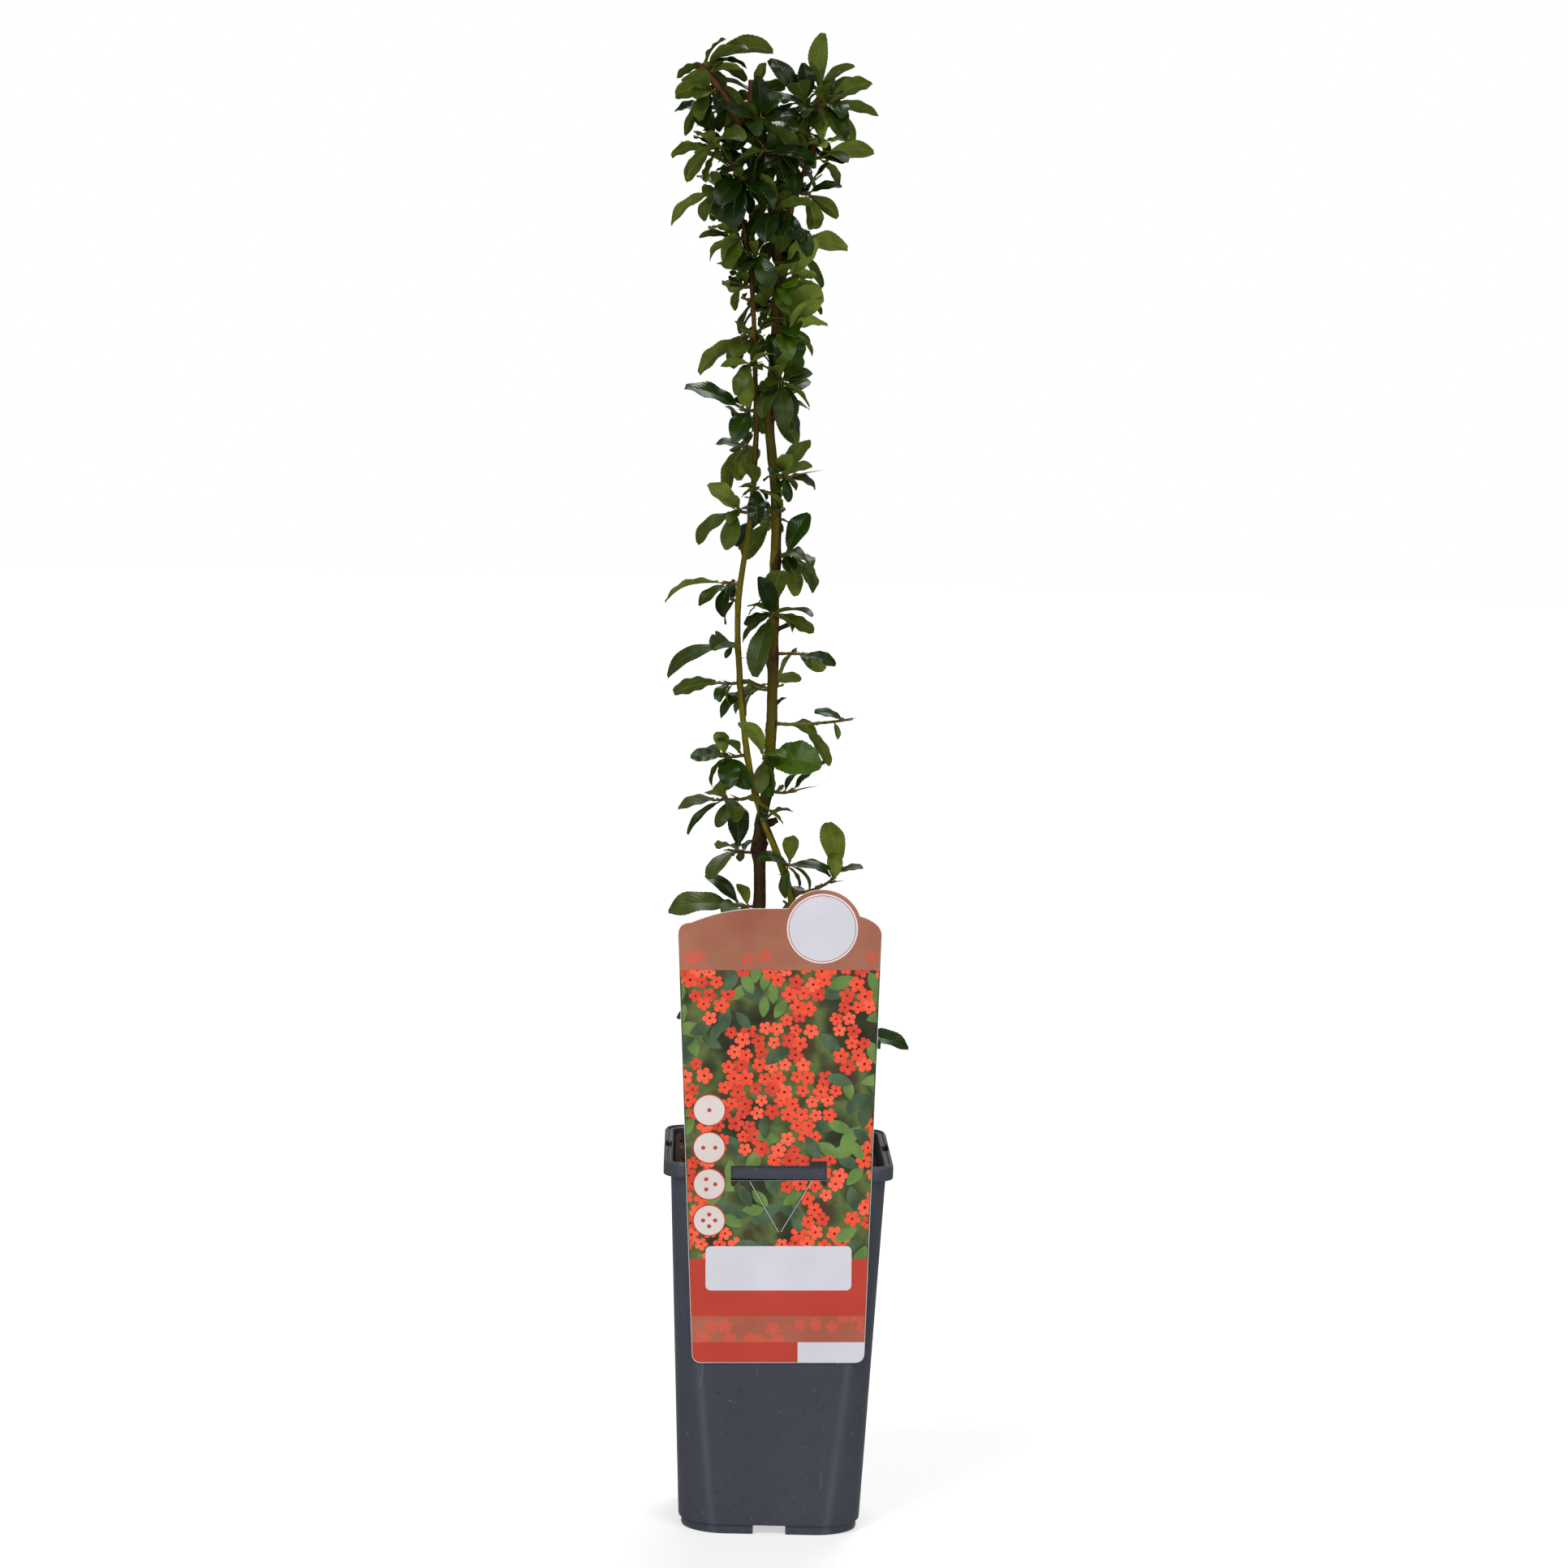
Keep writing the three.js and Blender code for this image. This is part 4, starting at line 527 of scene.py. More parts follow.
def any_inside(leaf, spots, room):
    """Does one of the spots lie in a leaf's clear space? leaf may hold stacked numbers of many leaves."""
    d = spots - leaf.foot
    u = (d * leaf.along).sum(-1)
    share = np.clip(u / leaf.chord, 0, 1)
    reach = blade_half(leaf.half, share) + room.margin
    w = arch_at(leaf.length, leaf.bend, share)[1]
    held = (u >= 0) & (u <= leaf.chord + room.margin)
    held &= np.abs((d * leaf.side).sum(-1)) <= reach
    held &= np.abs((d * leaf.normal).sum(-1) - w) < room.gap
    return bool(held.any())


def least_distance(spots, starts, ends):
    """Distance of each segment from the nearest of the spots."""
    ab = ends - starts
    share = ((spots[:, None, :] - starts) * ab).sum(-1) / (ab * ab).sum(-1)
    nearest = starts + np.clip(share, 0, 1)[..., None] * ab
    return np.sqrt(((spots[:, None, :] - nearest) ** 2).sum(-1)).min(0)


class Crown:
    """What has grown so far: limbs, twigs and thorns as segments, and the leaves."""

    def __init__(self, limbs, spurs):
        self.leaves = []
        self.limb_starts = np.vstack([limb.line[:-1] for limb in limbs])
        self.limb_ends = np.vstack([limb.line[1:] for limb in limbs])
        self.limb_radii = np.concatenate([[limb.sizes[0]] * (len(limb.line) - 1) for limb in limbs])
        lines = [(line, spur.number) for spur in spurs for line in [*spur.twigs, spur.thorn]]
        self.twig_starts = np.vstack([line[:-1] for line, _ in lines])
        self.twig_ends = np.vstack([line[1:] for line, _ in lines])
        self.twig_owner = np.concatenate([[number] * (len(line) - 1) for line, number in lines])

    def stacked(self, near):
        """The leaves near a point, as one with rows of numbers, and their spots; None if there are none."""
        kept = [leaf for leaf in self.leaves if math.dist(leaf.foot, near) < NEAR]
        if not kept:
            return None, None
        row = {k: np.array([getattr(leaf, k) for leaf in kept])[:, None]
               for k in ("foot", "along", "side", "normal", "length", "half", "bend", "chord")}
        return SimpleNamespace(**row), np.vstack([leaf.spots for leaf in kept])

    def is_clear(self, leaf, number, room):
        spots = spots_of(leaf)
        if (least_distance(spots, self.limb_starts, self.limb_ends) < self.limb_radii + room.limb).any():
            return False
        twig_room = np.where(self.twig_owner == number, room.own, room.twig)
        if (least_distance(spots, self.twig_starts, self.twig_ends) < twig_room).any():
            return False
        taken, taken_spots = self.stacked(leaf.foot)
        if taken is None:
            return True
        return not (any_inside(taken, spots, room) or any_inside(leaf, taken_spots, room))

    def grow_first(self, leaves, spur, room):
        """Grows the first of the leaves that is clear of everything else."""
        for leaf in leaves:
            if self.is_clear(leaf, spur.number, room):
                leaf.spots = spots_of(leaf)
                leaf.spur = spur
                self.leaves.append(leaf)
                return

    def twig_fits(self, line):
        """Does a new twig keep clear of the leaves and the other twigs?"""
        spots = np.array([point_on(line, share) for share in SHOOTS.spots])
        taken, _ = self.stacked(line[0])
        if taken is not None and any_inside(taken, spots, SHOOTS.room):
            return False
        return not (least_distance(spots, self.twig_starts, self.twig_ends) < SHOOTS.room.gap).any()

    def add_twig(self, line, number):
        self.twig_starts = np.vstack([self.twig_starts, line[:-1]])
        self.twig_ends = np.vstack([self.twig_ends, line[1:]])
        self.twig_owner = np.concatenate([self.twig_owner, [number] * (len(line) - 1)])


def hides(leaf):
    """Would a leaf close one of the crown's openings, or hide a bough that shows?"""
    spots = spots_of(leaf)
    in_front = spots[spots[:, 1] < 0]
    return any((np.hypot(near[:, 0] - x, near[:, 2] - z) < radius).any()
               for near, places in ((spots, OPENINGS), (in_front, BARE)) for x, z, radius in places)


def leaf_round(twig, drawn, tries):
    """The tries of one leaf, turned evenly round its twig, that stay in the crown's space."""
    foot, start, forward, length, breadth, face, arch, roll = drawn
    axis = unit(twig[-1] - twig[0])
    up = unit(flat_to(vector(0, 0, 1), axis))
    for step in range(tries):
        along = turned(up, axis, math.radians(start + step * 360 / tries)) + axis * forward
        along[2] -= GROWN.droop
        leaf = make_leaf(foot, unit(along), length, breadth, face, math.radians(arch), math.radians(roll))
        if in_reach(leaf):
            yield leaf


def make_spur(number, row, limbs):
    """One spur: its twigs, its thorn and the leaves it would like to carry, from its own seed."""
    on, z, to, twig_length, rise, leaves, seed, leads, *stated = row
    random = seeded(seed)
    limb = limb_at(limbs[on], z)
    out = unit(flat_to(heading(to), limb.along))
    foot = limb.point + out * (limb.radius + CLEAR + SEAT)
    twigs = [twig_line(foot, out, to, twig_length, rise, random)]
    forks = twig_length // SIDE_TWIG_SPACING
    for k in range(forks):
        turn = to + (-1 if k % 2 else 1) * pick(random, FORK_TURN)
        length = pick(random, FORK_LENGTH)
        start = point_on(twigs[0], (k + 1) / (forks + 1))
        twigs.append(twig_line(start, heading(turn), turn, length, FORK_RISE, random))
    wanted = []
    for k, (lead_to, pitch, length, breadth, face) in enumerate(leads):
        bend = math.radians(pick(random, LEAD.arch))
        roll = math.radians(pick(random, LEAD.roll))
        lead_foot = point_on(twigs[0], LEAD.foot - LEAD.spacing * k)
        ways = [heading(lead_to + turn, pitch - abs(turn) / 2) for turn in LEAD.turns]
        wanted.append([make_leaf(lead_foot, way, length, breadth, face, bend, roll) for way in ways])
    is_fresh = number == FRESH_SPUR
    size = GROWN.fresh_size if is_fresh else 1
    for k in range(leaves):
        twig = twigs[k % len(twigs)]
        drawn = (point_on(twig, GROWN.foot - GROWN.spread * (k / leaves) * random()),
                 SPIRAL * k + pick(random, GROWN.turn), pick(random, GROWN.forward),
                 pick(random, GROWN.length) * size, pick(random, GROWN.breadth),
                 pick(random, (UPPER, UNDER)), pick(random, GROWN.arch), pick(random, GROWN.roll))
        wanted.append(list(leaf_round(twig, drawn, TRIES)))
    if stated:
        thorn_foot, thorn_to, thorn_length = point_on(twigs[0], THORN_PLACE.end), to + THORN_SKEW, stated[0]
    else:
        thorn_foot = point_on(twigs[0], THORN_PLACE.side)
        thorn_to = to + (-THORN_TURN if random() < 0.5 else THORN_TURN)
        thorn_length = pick(random, THORN_LENGTH)
    thorn = np.array([thorn_foot, thorn_foot + heading(thorn_to, THORN_PITCH) * thorn_length])
    return SimpleNamespace(
        number=number, node=f"foliage_{number + 1:02d}", on=on, z=z, to=to, place=limb, out=out,
        twigs=twigs, thorn=thorn, wanted=wanted, seed=seed, largest=FILLER.fresh if is_fresh else math.inf)


def make_shoots(limbs, crown):
    """Short shoots along each limb, where a spur's leaves leave room for one."""
    random = seeded(SHOOTS.seed)
    shoots = []
    for limb in limbs.values():
        z, k = max(SHOOTS.low, limb.line[1][2]), 0
        while z < limb.line[-1][2] - SHOOTS.tip:
            to = SPIRAL * k + pick(random, SHOOTS.turn)
            place = limb_at(limb, z)
            out = unit(flat_to(heading(to), place.along))
            foot = place.point + out * place.radius * SHOOTS.depth
            line = twig_line(foot, out, to, pick(random, SHOOTS.length), SHOOTS.rise, random)
            if crown.twig_fits(line):
                number = SHOOTS.first + len(shoots)
                crown.add_twig(line, number)
                shoots.append(SimpleNamespace(
                    number=number, on=limb.name, z=z, to=to, place=place, out=out, twigs=[line], thorn=None,
                    seed=number, largest=SHOOTS.largest))
            spacing = next(gap for low, gap in SHOOTS.spacings if z >= low)
            z += spacing * pick(random, SHOOTS.jitter)
            k += 1
    return shoots


def grow_crown(limbs, spurs):
    """The source's leaves first, dealt out one to each spur in turn, and then the small ones."""
    crown = Crown(limbs.values(), spurs)
    for k in range(max(len(spur.wanted) for spur in spurs)):
        for spur in spurs:
            if k < len(spur.wanted):
                crown.grow_first(spur.wanted[k], spur, ROOM)
    everyone = spurs + make_shoots(limbs, crown)
    chances = [seeded(FILLER.seed + spur.seed) for spur in everyone]
    for stage in ROUNDS:
        for k in range(stage.count):
            for spur, random in zip(everyone, chances):
                if random() > np.interp(spur.z, *FILL):
                    continue
                twig = spur.twigs[k % len(spur.twigs)]
                foot, length = point_on(twig, pick(random, FILLER.foot)), pick(random, stage.length)
                drawn = (foot, SPIRAL * (k + FILLER.first) + pick(random, GROWN.turn),
                         pick(random, FILLER.forward), length, pick(random, stage.breadth),
                         pick(random, (UPPER, UNDER)), pick(random, FILLER.arch), pick(random, FILLER.roll))
                if length <= spur.largest:
                    tries = leaf_round(twig, drawn, stage.tries)
                    crown.grow_first((leaf for leaf in tries if not hides(leaf)), spur, stage.room)
    return crown, everyone


# ---------------------------------------------------------------- meshes


class Soup:
    """Points and faces of one joined piece, in millimetres."""

    def __init__(self):
        self.points, self.faces, self.kinds, self.uvs = [], [], [], []
        self.count = 0

    def add(self, points, faces, kind=0, uv=None):
        points = np.asarray(points, float).reshape(-1, 3)
        self.points.append(points)
        self.faces += [tuple(int(i) + self.count for i in face) for face in faces]
        self.kinds += [kind] * len(faces)
        self.uvs.append(np.zeros((len(points), 2)) if uv is None else uv)
        self.count += len(points)

    def build(self, name, materials, slot, replaces, sharp=40):
        mesh = bpy.data.meshes.new(name)
        mesh.from_pydata((np.vstack(self.points) * MM).tolist(), [], self.faces)
        for material in materials:
            mesh.materials.append(material)
        mesh.polygons.foreach_set("material_index", self.kinds)
        mesh.polygons.foreach_set("use_smooth", [True] * len(self.faces))
        corners = np.zeros(len(mesh.loops), int)
        mesh.loops.foreach_get("vertex_index", corners)
        layer = mesh.uv_layers.new(name="UVMap")
        layer.data.foreach_set("uv", np.vstack(self.uvs)[corners].ravel())
        mesh.set_sharp_from_angle(angle=math.radians(sharp))
        mesh.update()
        made = add_object(name, mesh)
        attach(made, BODY)
        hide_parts(*replaces)
        return made


def add_object(name, data):
    made = bpy.data.objects.new(name, data)
    bpy.context.scene.collection.objects.link(made)
    return made


def ring_faces(count):
    """Quads between two rings of points, one after the other."""
    return [(i, (i + 1) % count, count + (i + 1) % count, count + i) for i in range(count)]


def grid_faces(rows, columns, around=False):
    """Quads of a grid of points. around joins the last column to the first."""
    faces = []
    for i in range(rows - 1):
        for j in range(columns if around else columns - 1):
            k = (j + 1) % columns
            faces.append((i * columns + j, i * columns + k, (i + 1) * columns + k, (i + 1) * columns + j))
    return faces


def tube_rings(points, radii, sides):
    """Rings of a round limb, kept from twisting, and each ring point's outward direction."""
    points = np.asarray(points, float)
    ahead = np.vstack([points[1:], points[-1:]]) - np.vstack([points[:1], points[:-1]])
    angles = np.arange(sides) * 2 * math.pi / sides
    across = vector(1, 0, 0) if abs(unit(ahead[0])[0]) < 0.9 else vector(0, 1, 0)
    outward = []
    for step in ahead:
        along = unit(step)
        across = unit(across - along * (across @ along))
        third = np.cross(along, across)
        outward.append(np.cos(angles)[:, None] * across + np.sin(angles)[:, None] * third)
    outward = np.array(outward)
    return points[:, None, :] + outward * np.asarray(radii, float).reshape(-1, 1, 1), outward


def add_tube(soup, points, radii, sides, marks=None):
    rings, _ = tube_rings(points, radii, sides)
    add_rings(soup, rings, marks)


def add_rings(soup, rings, marks=None):
    """A closed skin over rings. marks go to the map's first coordinate in place of the share along."""
    rows, sides = rings.shape[:2]
    body = rings.reshape(-1, 3)
    faces = grid_faces(rows, sides, around=True)
    ends = np.array([rings[0].mean(0), rings[-1].mean(0)])
    low, high = len(body), len(body) + 1
    faces += [((j + 1) % sides, j, low) for j in range(sides)]
    last = (rows - 1) * sides
    faces += [(last + j, last + (j + 1) % sides, high) for j in range(sides)]
    share = np.repeat(np.linspace(0, 1, rows), sides) if marks is None else marks.ravel()
    turn = np.tile(np.linspace(0, 1, sides), rows)
    uv = np.vstack([np.column_stack([share, turn]), [[share[0], 0.5], [share[-1], 0.5]]])
    soup.add(np.vstack([body, ends]), faces, uv=uv)


# ---------------------------------------------------------------- materials


def srgb(r, g, b):
    """Linear colour from 0 to 255 screen values."""
    def linear(c):
        c /= 255
        return c / 12.92 if c <= 0.04045 else ((c + 0.055) / 1.055) ** 2.4
    return (linear(r), linear(g), linear(b), 1)


class Paint:
    """A procedural material: its Principled shader, and ways to make patterns, colours and relief."""

    def __init__(self, name, roughness, specular):
        self.material = bpy.data.materials.new(name)
        self.material.use_nodes = True
        self.tree = self.material.node_tree
        self.shader = self.tree.nodes["Principled BSDF"]
        self.set("Roughness", roughness)
        self.set("Specular IOR Level", specular)
        self.place = self.node("ShaderNodeTexCoord").outputs["Object"]
        self.relief = None

    def put(self, value, socket):
        """Links a socket to another one, or gives it a value."""
        if isinstance(value, bpy.types.NodeSocket):
            self.tree.links.new(value, socket)
        else:
            socket.default_value = value

    def set(self, name, value):
        self.put(value, self.shader.inputs[name])

    def node(self, kind, inputs=None, **settings):
        made = self.tree.nodes.new(kind)
        for key, value in settings.items():
            setattr(made, key, value)
        for key, value in (inputs or {}).items():
            self.put(value, made.inputs[key])
        return made

    def noise(self, scale, detail, stretch=(1, 1, 1)):
        """Noise with scale features to the metre, stretched along the axes."""
        place = self.node("ShaderNodeMapping", {"Vector": self.place, "Scale": stretch}).outputs["Vector"]
        inputs = {"Vector": place, "Scale": scale, "Detail": detail}
        return self.node("ShaderNodeTexNoise", inputs).outputs["Fac"]

    def span(self, source, low, high, to_low=0.0, to_high=1.0):
        inputs = {"Value": source, "From Min": low, "From Max": high, "To Min": to_low, "To Max": to_high}
        return self.node("ShaderNodeMapRange", inputs).outputs["Result"]

    def patches(self, scale, detail, low, high, stretch=(1, 1, 1)):
        """A mask of the places where noise is high: none up to low, and full from high."""
        return self.span(self.noise(scale, detail, stretch), low, high)

    def ramp(self, source, stops):
        """Colours along a factor: stops are (place, colour)."""
        made = self.node("ShaderNodeValToRGB", {"Fac": source})
        elements = made.color_ramp.elements
        while len(elements) < len(stops):
            elements.new(0.5)
        for element, (place, colour) in zip(elements, stops):
            element.position = place
            element.color = colour
        return made.outputs["Color"]

    def mix(self, factor, a, b):
        """Two colours, mixed. A mix node's sockets 6 and 7 and its output 2 are those for colours."""
        return self.node("ShaderNodeMix", {0: factor, 6: a, 7: b}, data_type="RGBA").outputs[2]

    def maths(self, operation, a, b=0.0):
        return self.node("ShaderNodeMath", {0: a, 1: b}, operation=operation).outputs["Value"]

    def times(self, a, b):
        return self.maths("MULTIPLY", a, b)

    def over(self, base, mask, share, colour):
        """base with a share of a colour laid over it where the mask is."""
        return self.mix(self.times(mask, share), base, colour)

    def bump(self, source, depth_mm, strength=1.0):
        """Adds a relief on top of what is there."""
        inputs = {"Strength": strength, "Distance": depth_mm * MM, "Height": source}
        if self.relief:
            inputs["Normal"] = self.relief
        self.relief = self.node("ShaderNodeBump", inputs).outputs["Normal"]
        self.set("Normal", self.relief)

    def axis(self, source, name):
        return self.node("ShaderNodeSeparateXYZ", {"Vector": source}).outputs[name]

    def map_axis(self, name):
        return self.axis(self.node("ShaderNodeUVMap", uv_map="UVMap").outputs["UV"], name)

    def normal_axis(self, name):
        return self.axis(self.node("ShaderNodeNewGeometry").outputs["Normal"], name)


def leaf_side(name, roughness, dark, light, rib_colour, side):
    """One side of a leaf, mottled green with a pale midrib and slanting veins, and the midrib's mask."""
    paint = Paint(name, roughness, side.specular)
    off = paint.maths("ABSOLUTE", paint.maths("SUBTRACT", paint.map_axis("Y"), 0.5))
    rib = paint.span(off, RIB_MIDDLE, side.rib_edge, 1, 0)
    shade = paint.mix(paint.patches(*side.mottle, 0.3, 0.7), dark, light)
    paint.set("Base Color", paint.over(shade, rib, side.rib_share, rib_colour))
    slant = paint.maths("SUBTRACT", paint.times(paint.map_axis("X"), 62), paint.times(off, 46))
    paint.bump(paint.maths("SINE", slant), side.vein_depth, 0.5)
    return paint, rib


def leaf_paints():
    """Upper and lower side of each tint: the upper one is glossier, with a sunken midrib."""
    paints = {}
    for tint, (dark, light, roughness, under_dark, under_light) in LEAF_TINTS.items():
        dark, light = srgb(*dark), srgb(*light)
        pale = [lerp(a, b, 0.3) for a, b in zip(light, srgb(*RIB_UPPER))]
        upper, rib = leaf_side(f"leaf_{tint}_upper", roughness, dark, light, pale, UPPER_SIDE)
        upper.bump(rib, -0.2, 0.6)
        upper.bump(upper.noise(900, 2), 0.05, 0.4)
        shine = (roughness - 0.05, roughness + 0.08)
        upper.set("Roughness", upper.span(upper.noise(60, 2), 0.3, 0.7, *shine))
        lower, _ = leaf_side(f"leaf_{tint}_lower", 0.6, srgb(*under_dark), srgb(*under_light),
                             srgb(*RIB_LOWER), LOWER_SIDE)
        paints[tint] = [upper.material, lower.material]
    return paints


def bark_paint(name, stops, crust_and_shade_colour, pores):
    """Young bark: its colours up the plant, patches of dark crust, more of them round the knots and on each
    limb's right side, where the darkening is partly painted shade, and lenticels.

    The first coordinate of the map says how near a point is to a knot.
    """
    paint = Paint(name, 0.5, specular=0.1)
    grain = (1, 1, 0.12)
    base = paint.ramp(paint.span(paint.axis(paint.place, "Z"), 0.2, 0.84), stops)
    base = paint.over(base, paint.patches(420, 4, 0.4, 0.7, grain), 0.45, srgb(62, 52, 8))
    crust_and_side_shade = paint.noise(55, 3, (1, 1, 0.35))
    # The normal's X share darkens each limb's right side: painted shade, mixed into the real crust.
    sources = (paint.normal_axis("X"), 0.22), (paint.map_axis("X"), 0.32), (paint.noise(700, 3), 0.12)
    for source, share in sources:
        crust_and_side_shade = paint.maths("ADD", crust_and_side_shade, paint.times(source, share))
    crust_and_side_shade = paint.span(crust_and_side_shade, 0.7, 0.78)
    base = paint.over(base, crust_and_side_shade, 0.9, crust_and_shade_colour)
    lenticels = paint.patches(900, 1, 0.66, 0.72)
    paint.set("Base Color", paint.over(base, lenticels, 0.6, pores))
    paint.bump(paint.noise(420, 4, grain), 0.3, 0.6)
    paint.bump(crust_and_side_shade, 0.15, 0.6)
    paint.bump(lenticels, 0.2, 0.6)
    return paint.material


def limb_paints():
    """The main stem is dark at its foot, the second is olive from its foot up, and the boughs are red."""
    brown, olive, yellow, red = srgb(44, 32, 15), srgb(68, 60, 6), srgb(94, 84, 4), srgb(80, 45, 28)
    main = [(0, brown), (0.26, brown), (0.33, olive), (0.4, srgb(80, 72, 5)), (0.46, srgb(58, 44, 6)),
            (0.53, yellow), (0.6, olive), (0.7, olive), (0.86, red)]
    second = [(0, srgb(82, 80, 8)), (0.34, srgb(98, 92, 10)), (0.54, srgb(94, 86, 8)),
              (0.68, srgb(80, 64, 12)), (0.86, red)]
    young = [(0, olive), (0.78, srgb(80, 56, 26)), (0.9, red)]
    return {
        "stem_main": bark_paint("bark_main", main, srgb(42, 24, 11), srgb(112, 94, 44)),
        "stem_second": bark_paint("bark_second", second, srgb(48, 27, 12), srgb(136, 118, 48)),
        "boughs": bark_paint("young_bark", young, srgb(56, 31, 22), srgb(130, 96, 66)),
    }


def plain_paint(name, a, b, scale, roughness, bump=0.0, specular=0.4):
    """Two colours mixed by noise, with a relief from the same noise."""
    paint = Paint(name, roughness, specular)
    pattern = paint.noise(scale, 4)
    paint.set("Base Color", paint.mix(paint.span(pattern, 0.35, 0.65), srgb(*a), srgb(*b)))
    if bump:
        paint.bump(pattern, bump)
    return paint.material


def painted_corner_highlights(paint):
    """Painted highlights: pale streaks along the lines where the corners start to round, which lean
    inwards.
    """
    height = paint.axis(paint.place, "Z")
    under = (POT.height - POT.rim_band) * MM
    starts = (half - CORNER_HIGHLIGHT.inset * radius
              for half, radius in ((POT.base_half, POT.base_radius), (POT.neck_half, POT.neck_radius)))
    bend = paint.span(height, POT.foot_height * MM, under, *(start * MM for start in starts))
    marks = 0
    for name in ("X", "Y"):
        off = paint.maths("SUBTRACT", paint.maths("ABSOLUTE", paint.axis(paint.place, name)), bend)
        line = paint.span(paint.maths("ABSOLUTE", off), 0, CORNER_HIGHLIGHT.width * MM, 1, 0)
        marks = paint.maths("MAXIMUM", marks, paint.maths("POWER", line, 1.5))
    below = paint.span(height, under - 4 * MM, under, 1, 0)
    highlight_breakup = paint.span(paint.noise(160, 4, (1, 1, 0.2)), 0.3, 0.65, 0.5, 1)
    return paint.times(paint.times(marks, below), highlight_breakup)


def pot_paint():
    """Anthracite polypropylene: satin, dusty where it faces up, with specks, scratches and painted
    highlights along its corners.
    """
    paint = Paint("pot_plastic", 0.36, specular=0.42)
    base = paint.mix(paint.patches(14, 3, 0.3, 0.7), srgb(51, 54, 63), srgb(56, 59, 69))
    upward = paint.span(paint.normal_axis("Z"), 0.5, 0.95)
    dust = paint.span(paint.noise(300, 4), 0.3, 0.6, 0.15, 0.6)
    base = paint.over(base, upward, dust, srgb(104, 99, 94))
    for noise_and_ends, share, colour in POT_LAYERS:
        base = paint.over(base, paint.patches(*noise_and_ends), share, srgb(*colour))
    # The pale streaks along the corners under the rim are painted highlights.
    paint.set("Base Color", paint.over(base, painted_corner_highlights(paint), CORNER_HIGHLIGHT.share, srgb(98, 102, 112)))
    paint.set("Roughness", paint.span(paint.noise(40, 4), 0.3, 0.7, 0.3, 0.42))
    paint.bump(paint.noise(60, 2, (1, 1, 0.3)), 0.04, 0.4)
    paint.bump(paint.noise(2600, 2), 0.02, 0.5)
    return paint.material


# ---------------------------------------------------------------- pot and compost


def rounded_square(half, radius, z, steps=14):
    ring = []
    for corner in range(4):
        for k in range(steps + 1):
            angle = k / steps * math.pi / 2
            x = half - radius + radius * math.cos(angle)
            y = half - radius + radius * math.sin(angle)
            ring.append((*turned_2d(x, y, corner * math.pi / 2), z))
    return ring


def wall_at(z):
    share = (z - POT.foot_height) / (POT.height - POT.rim_band - POT.foot_height)
    return lerp(POT.base_half, POT.neck_half, share), lerp(POT.base_radius, POT.neck_radius, share)


def arc(centre, radius, start, end, steps=4):
    """Points of an arc, in degrees."""
    angles = [math.radians(lerp(start, end, k / steps)) for k in range(steps + 1)]
    return [(centre[0] + radius * math.cos(a), centre[1] + radius * math.sin(a)) for a in angles]


def prism(outline, low, high, place):
    """A closed prism on an outline of 2D points, mapped by place(x, y, depth)."""
    count = len(outline)
    points = [place(x, y, low) for x, y in outline] + [place(x, y, high) for x, y in outline]
    return points, [tuple(reversed(range(count))), tuple(range(count, 2 * count)), *ring_faces(count)]


def cutter(points, faces):
    mesh = bpy.data.meshes.new("cutter")
    mesh.from_pydata([tuple(np.asarray(p) * MM) for p in points], [], faces)
    return add_object("cutter", mesh)


def notch_outline():
    """The gap in the foot, seen from the side: rounded where its edges meet the ground and the wall."""
    half, top, round_low, round_high = POT.notch / 2, POT.foot_height, 1.1, 0.5
    right = [(half + round_low, -1), (half + round_low, 0)]
    right += [(half + round_low - round_low * math.sin(a), round_low * (1 - math.cos(a)))
              for a in (0.4, 0.8, 1.2, math.pi / 2)]
    right += [(half, top - round_high), (half - round_high, top)]
    return right + [(-x, y) for x, y in reversed(right)]


def rim_section():
    """Outward place and height of the rim's skin, from under the band over its top and down inside."""
    top, half = POT.height, POT.rim_half
    under = top - POT.rim_band
    section = [(half - 1.2, under)]
    section += arc((half - 0.9, under + 0.9), 0.9, -90, 0)
    section += arc((half - 0.8, top - 1.6), 0.8, 0, 45)
    inward = [(0.9, 0.35), (1.1, 0), (1.9, 0), (2.2, 0.5), (2.4, 1.2), (3.1, 1.2), (3.3, 0.8), (4.2, 0.8),
              (POT.rim_wall, 1.4), (POT.rim_wall + 0.6, 4)]
    return section + [(half - x, top - y) for x, y in inward]


def pot_rings():
    """Half width, corner radius and height of each ring: foot, outer wall, rim, inner wall and floor."""
    inner_half, inner_radius = POT.foot_half - POT.foot_wall, POT.base_radius - POT.foot_wall
    under, foot, floor = POT.height - POT.rim_band, POT.foot_height, POT.foot_height + POT.floor
    inner_foot = (inner_half, foot), (inner_half, 0.4), (inner_half + 0.4, 0)
    rings = [(half, inner_radius, z) for half, z in inner_foot]
    ground = (0.9, 0), (0.25, 0.3), (0, 1), (0, foot - 0.5)
    rings += [(POT.foot_half - inset, POT.base_radius, z) for inset, z in ground]
    step = (0.6, 0), (0.15, 0.4), (0, 1.2)
    rings += [(POT.base_half - inset, POT.base_radius, foot + up) for inset, up in step]
    rings += [(*wall_at(z), z) for z in (*np.linspace(foot + 10, under - 6, 8), under)]
    rings += [(out, POT.rim_radius - (POT.rim_half - out), z) for out, z in rim_section()]
    (inner, radius), (base, base_radius) = wall_at(under - 2), wall_at(floor)
    rings += [(inner - POT.wall, radius - POT.wall, under - 2)]
    rings += [(base - POT.wall, base_radius - POT.wall, floor + 2)]
    return rings + [(base - POT.wall - 2, base_radius - 3.5, floor)]


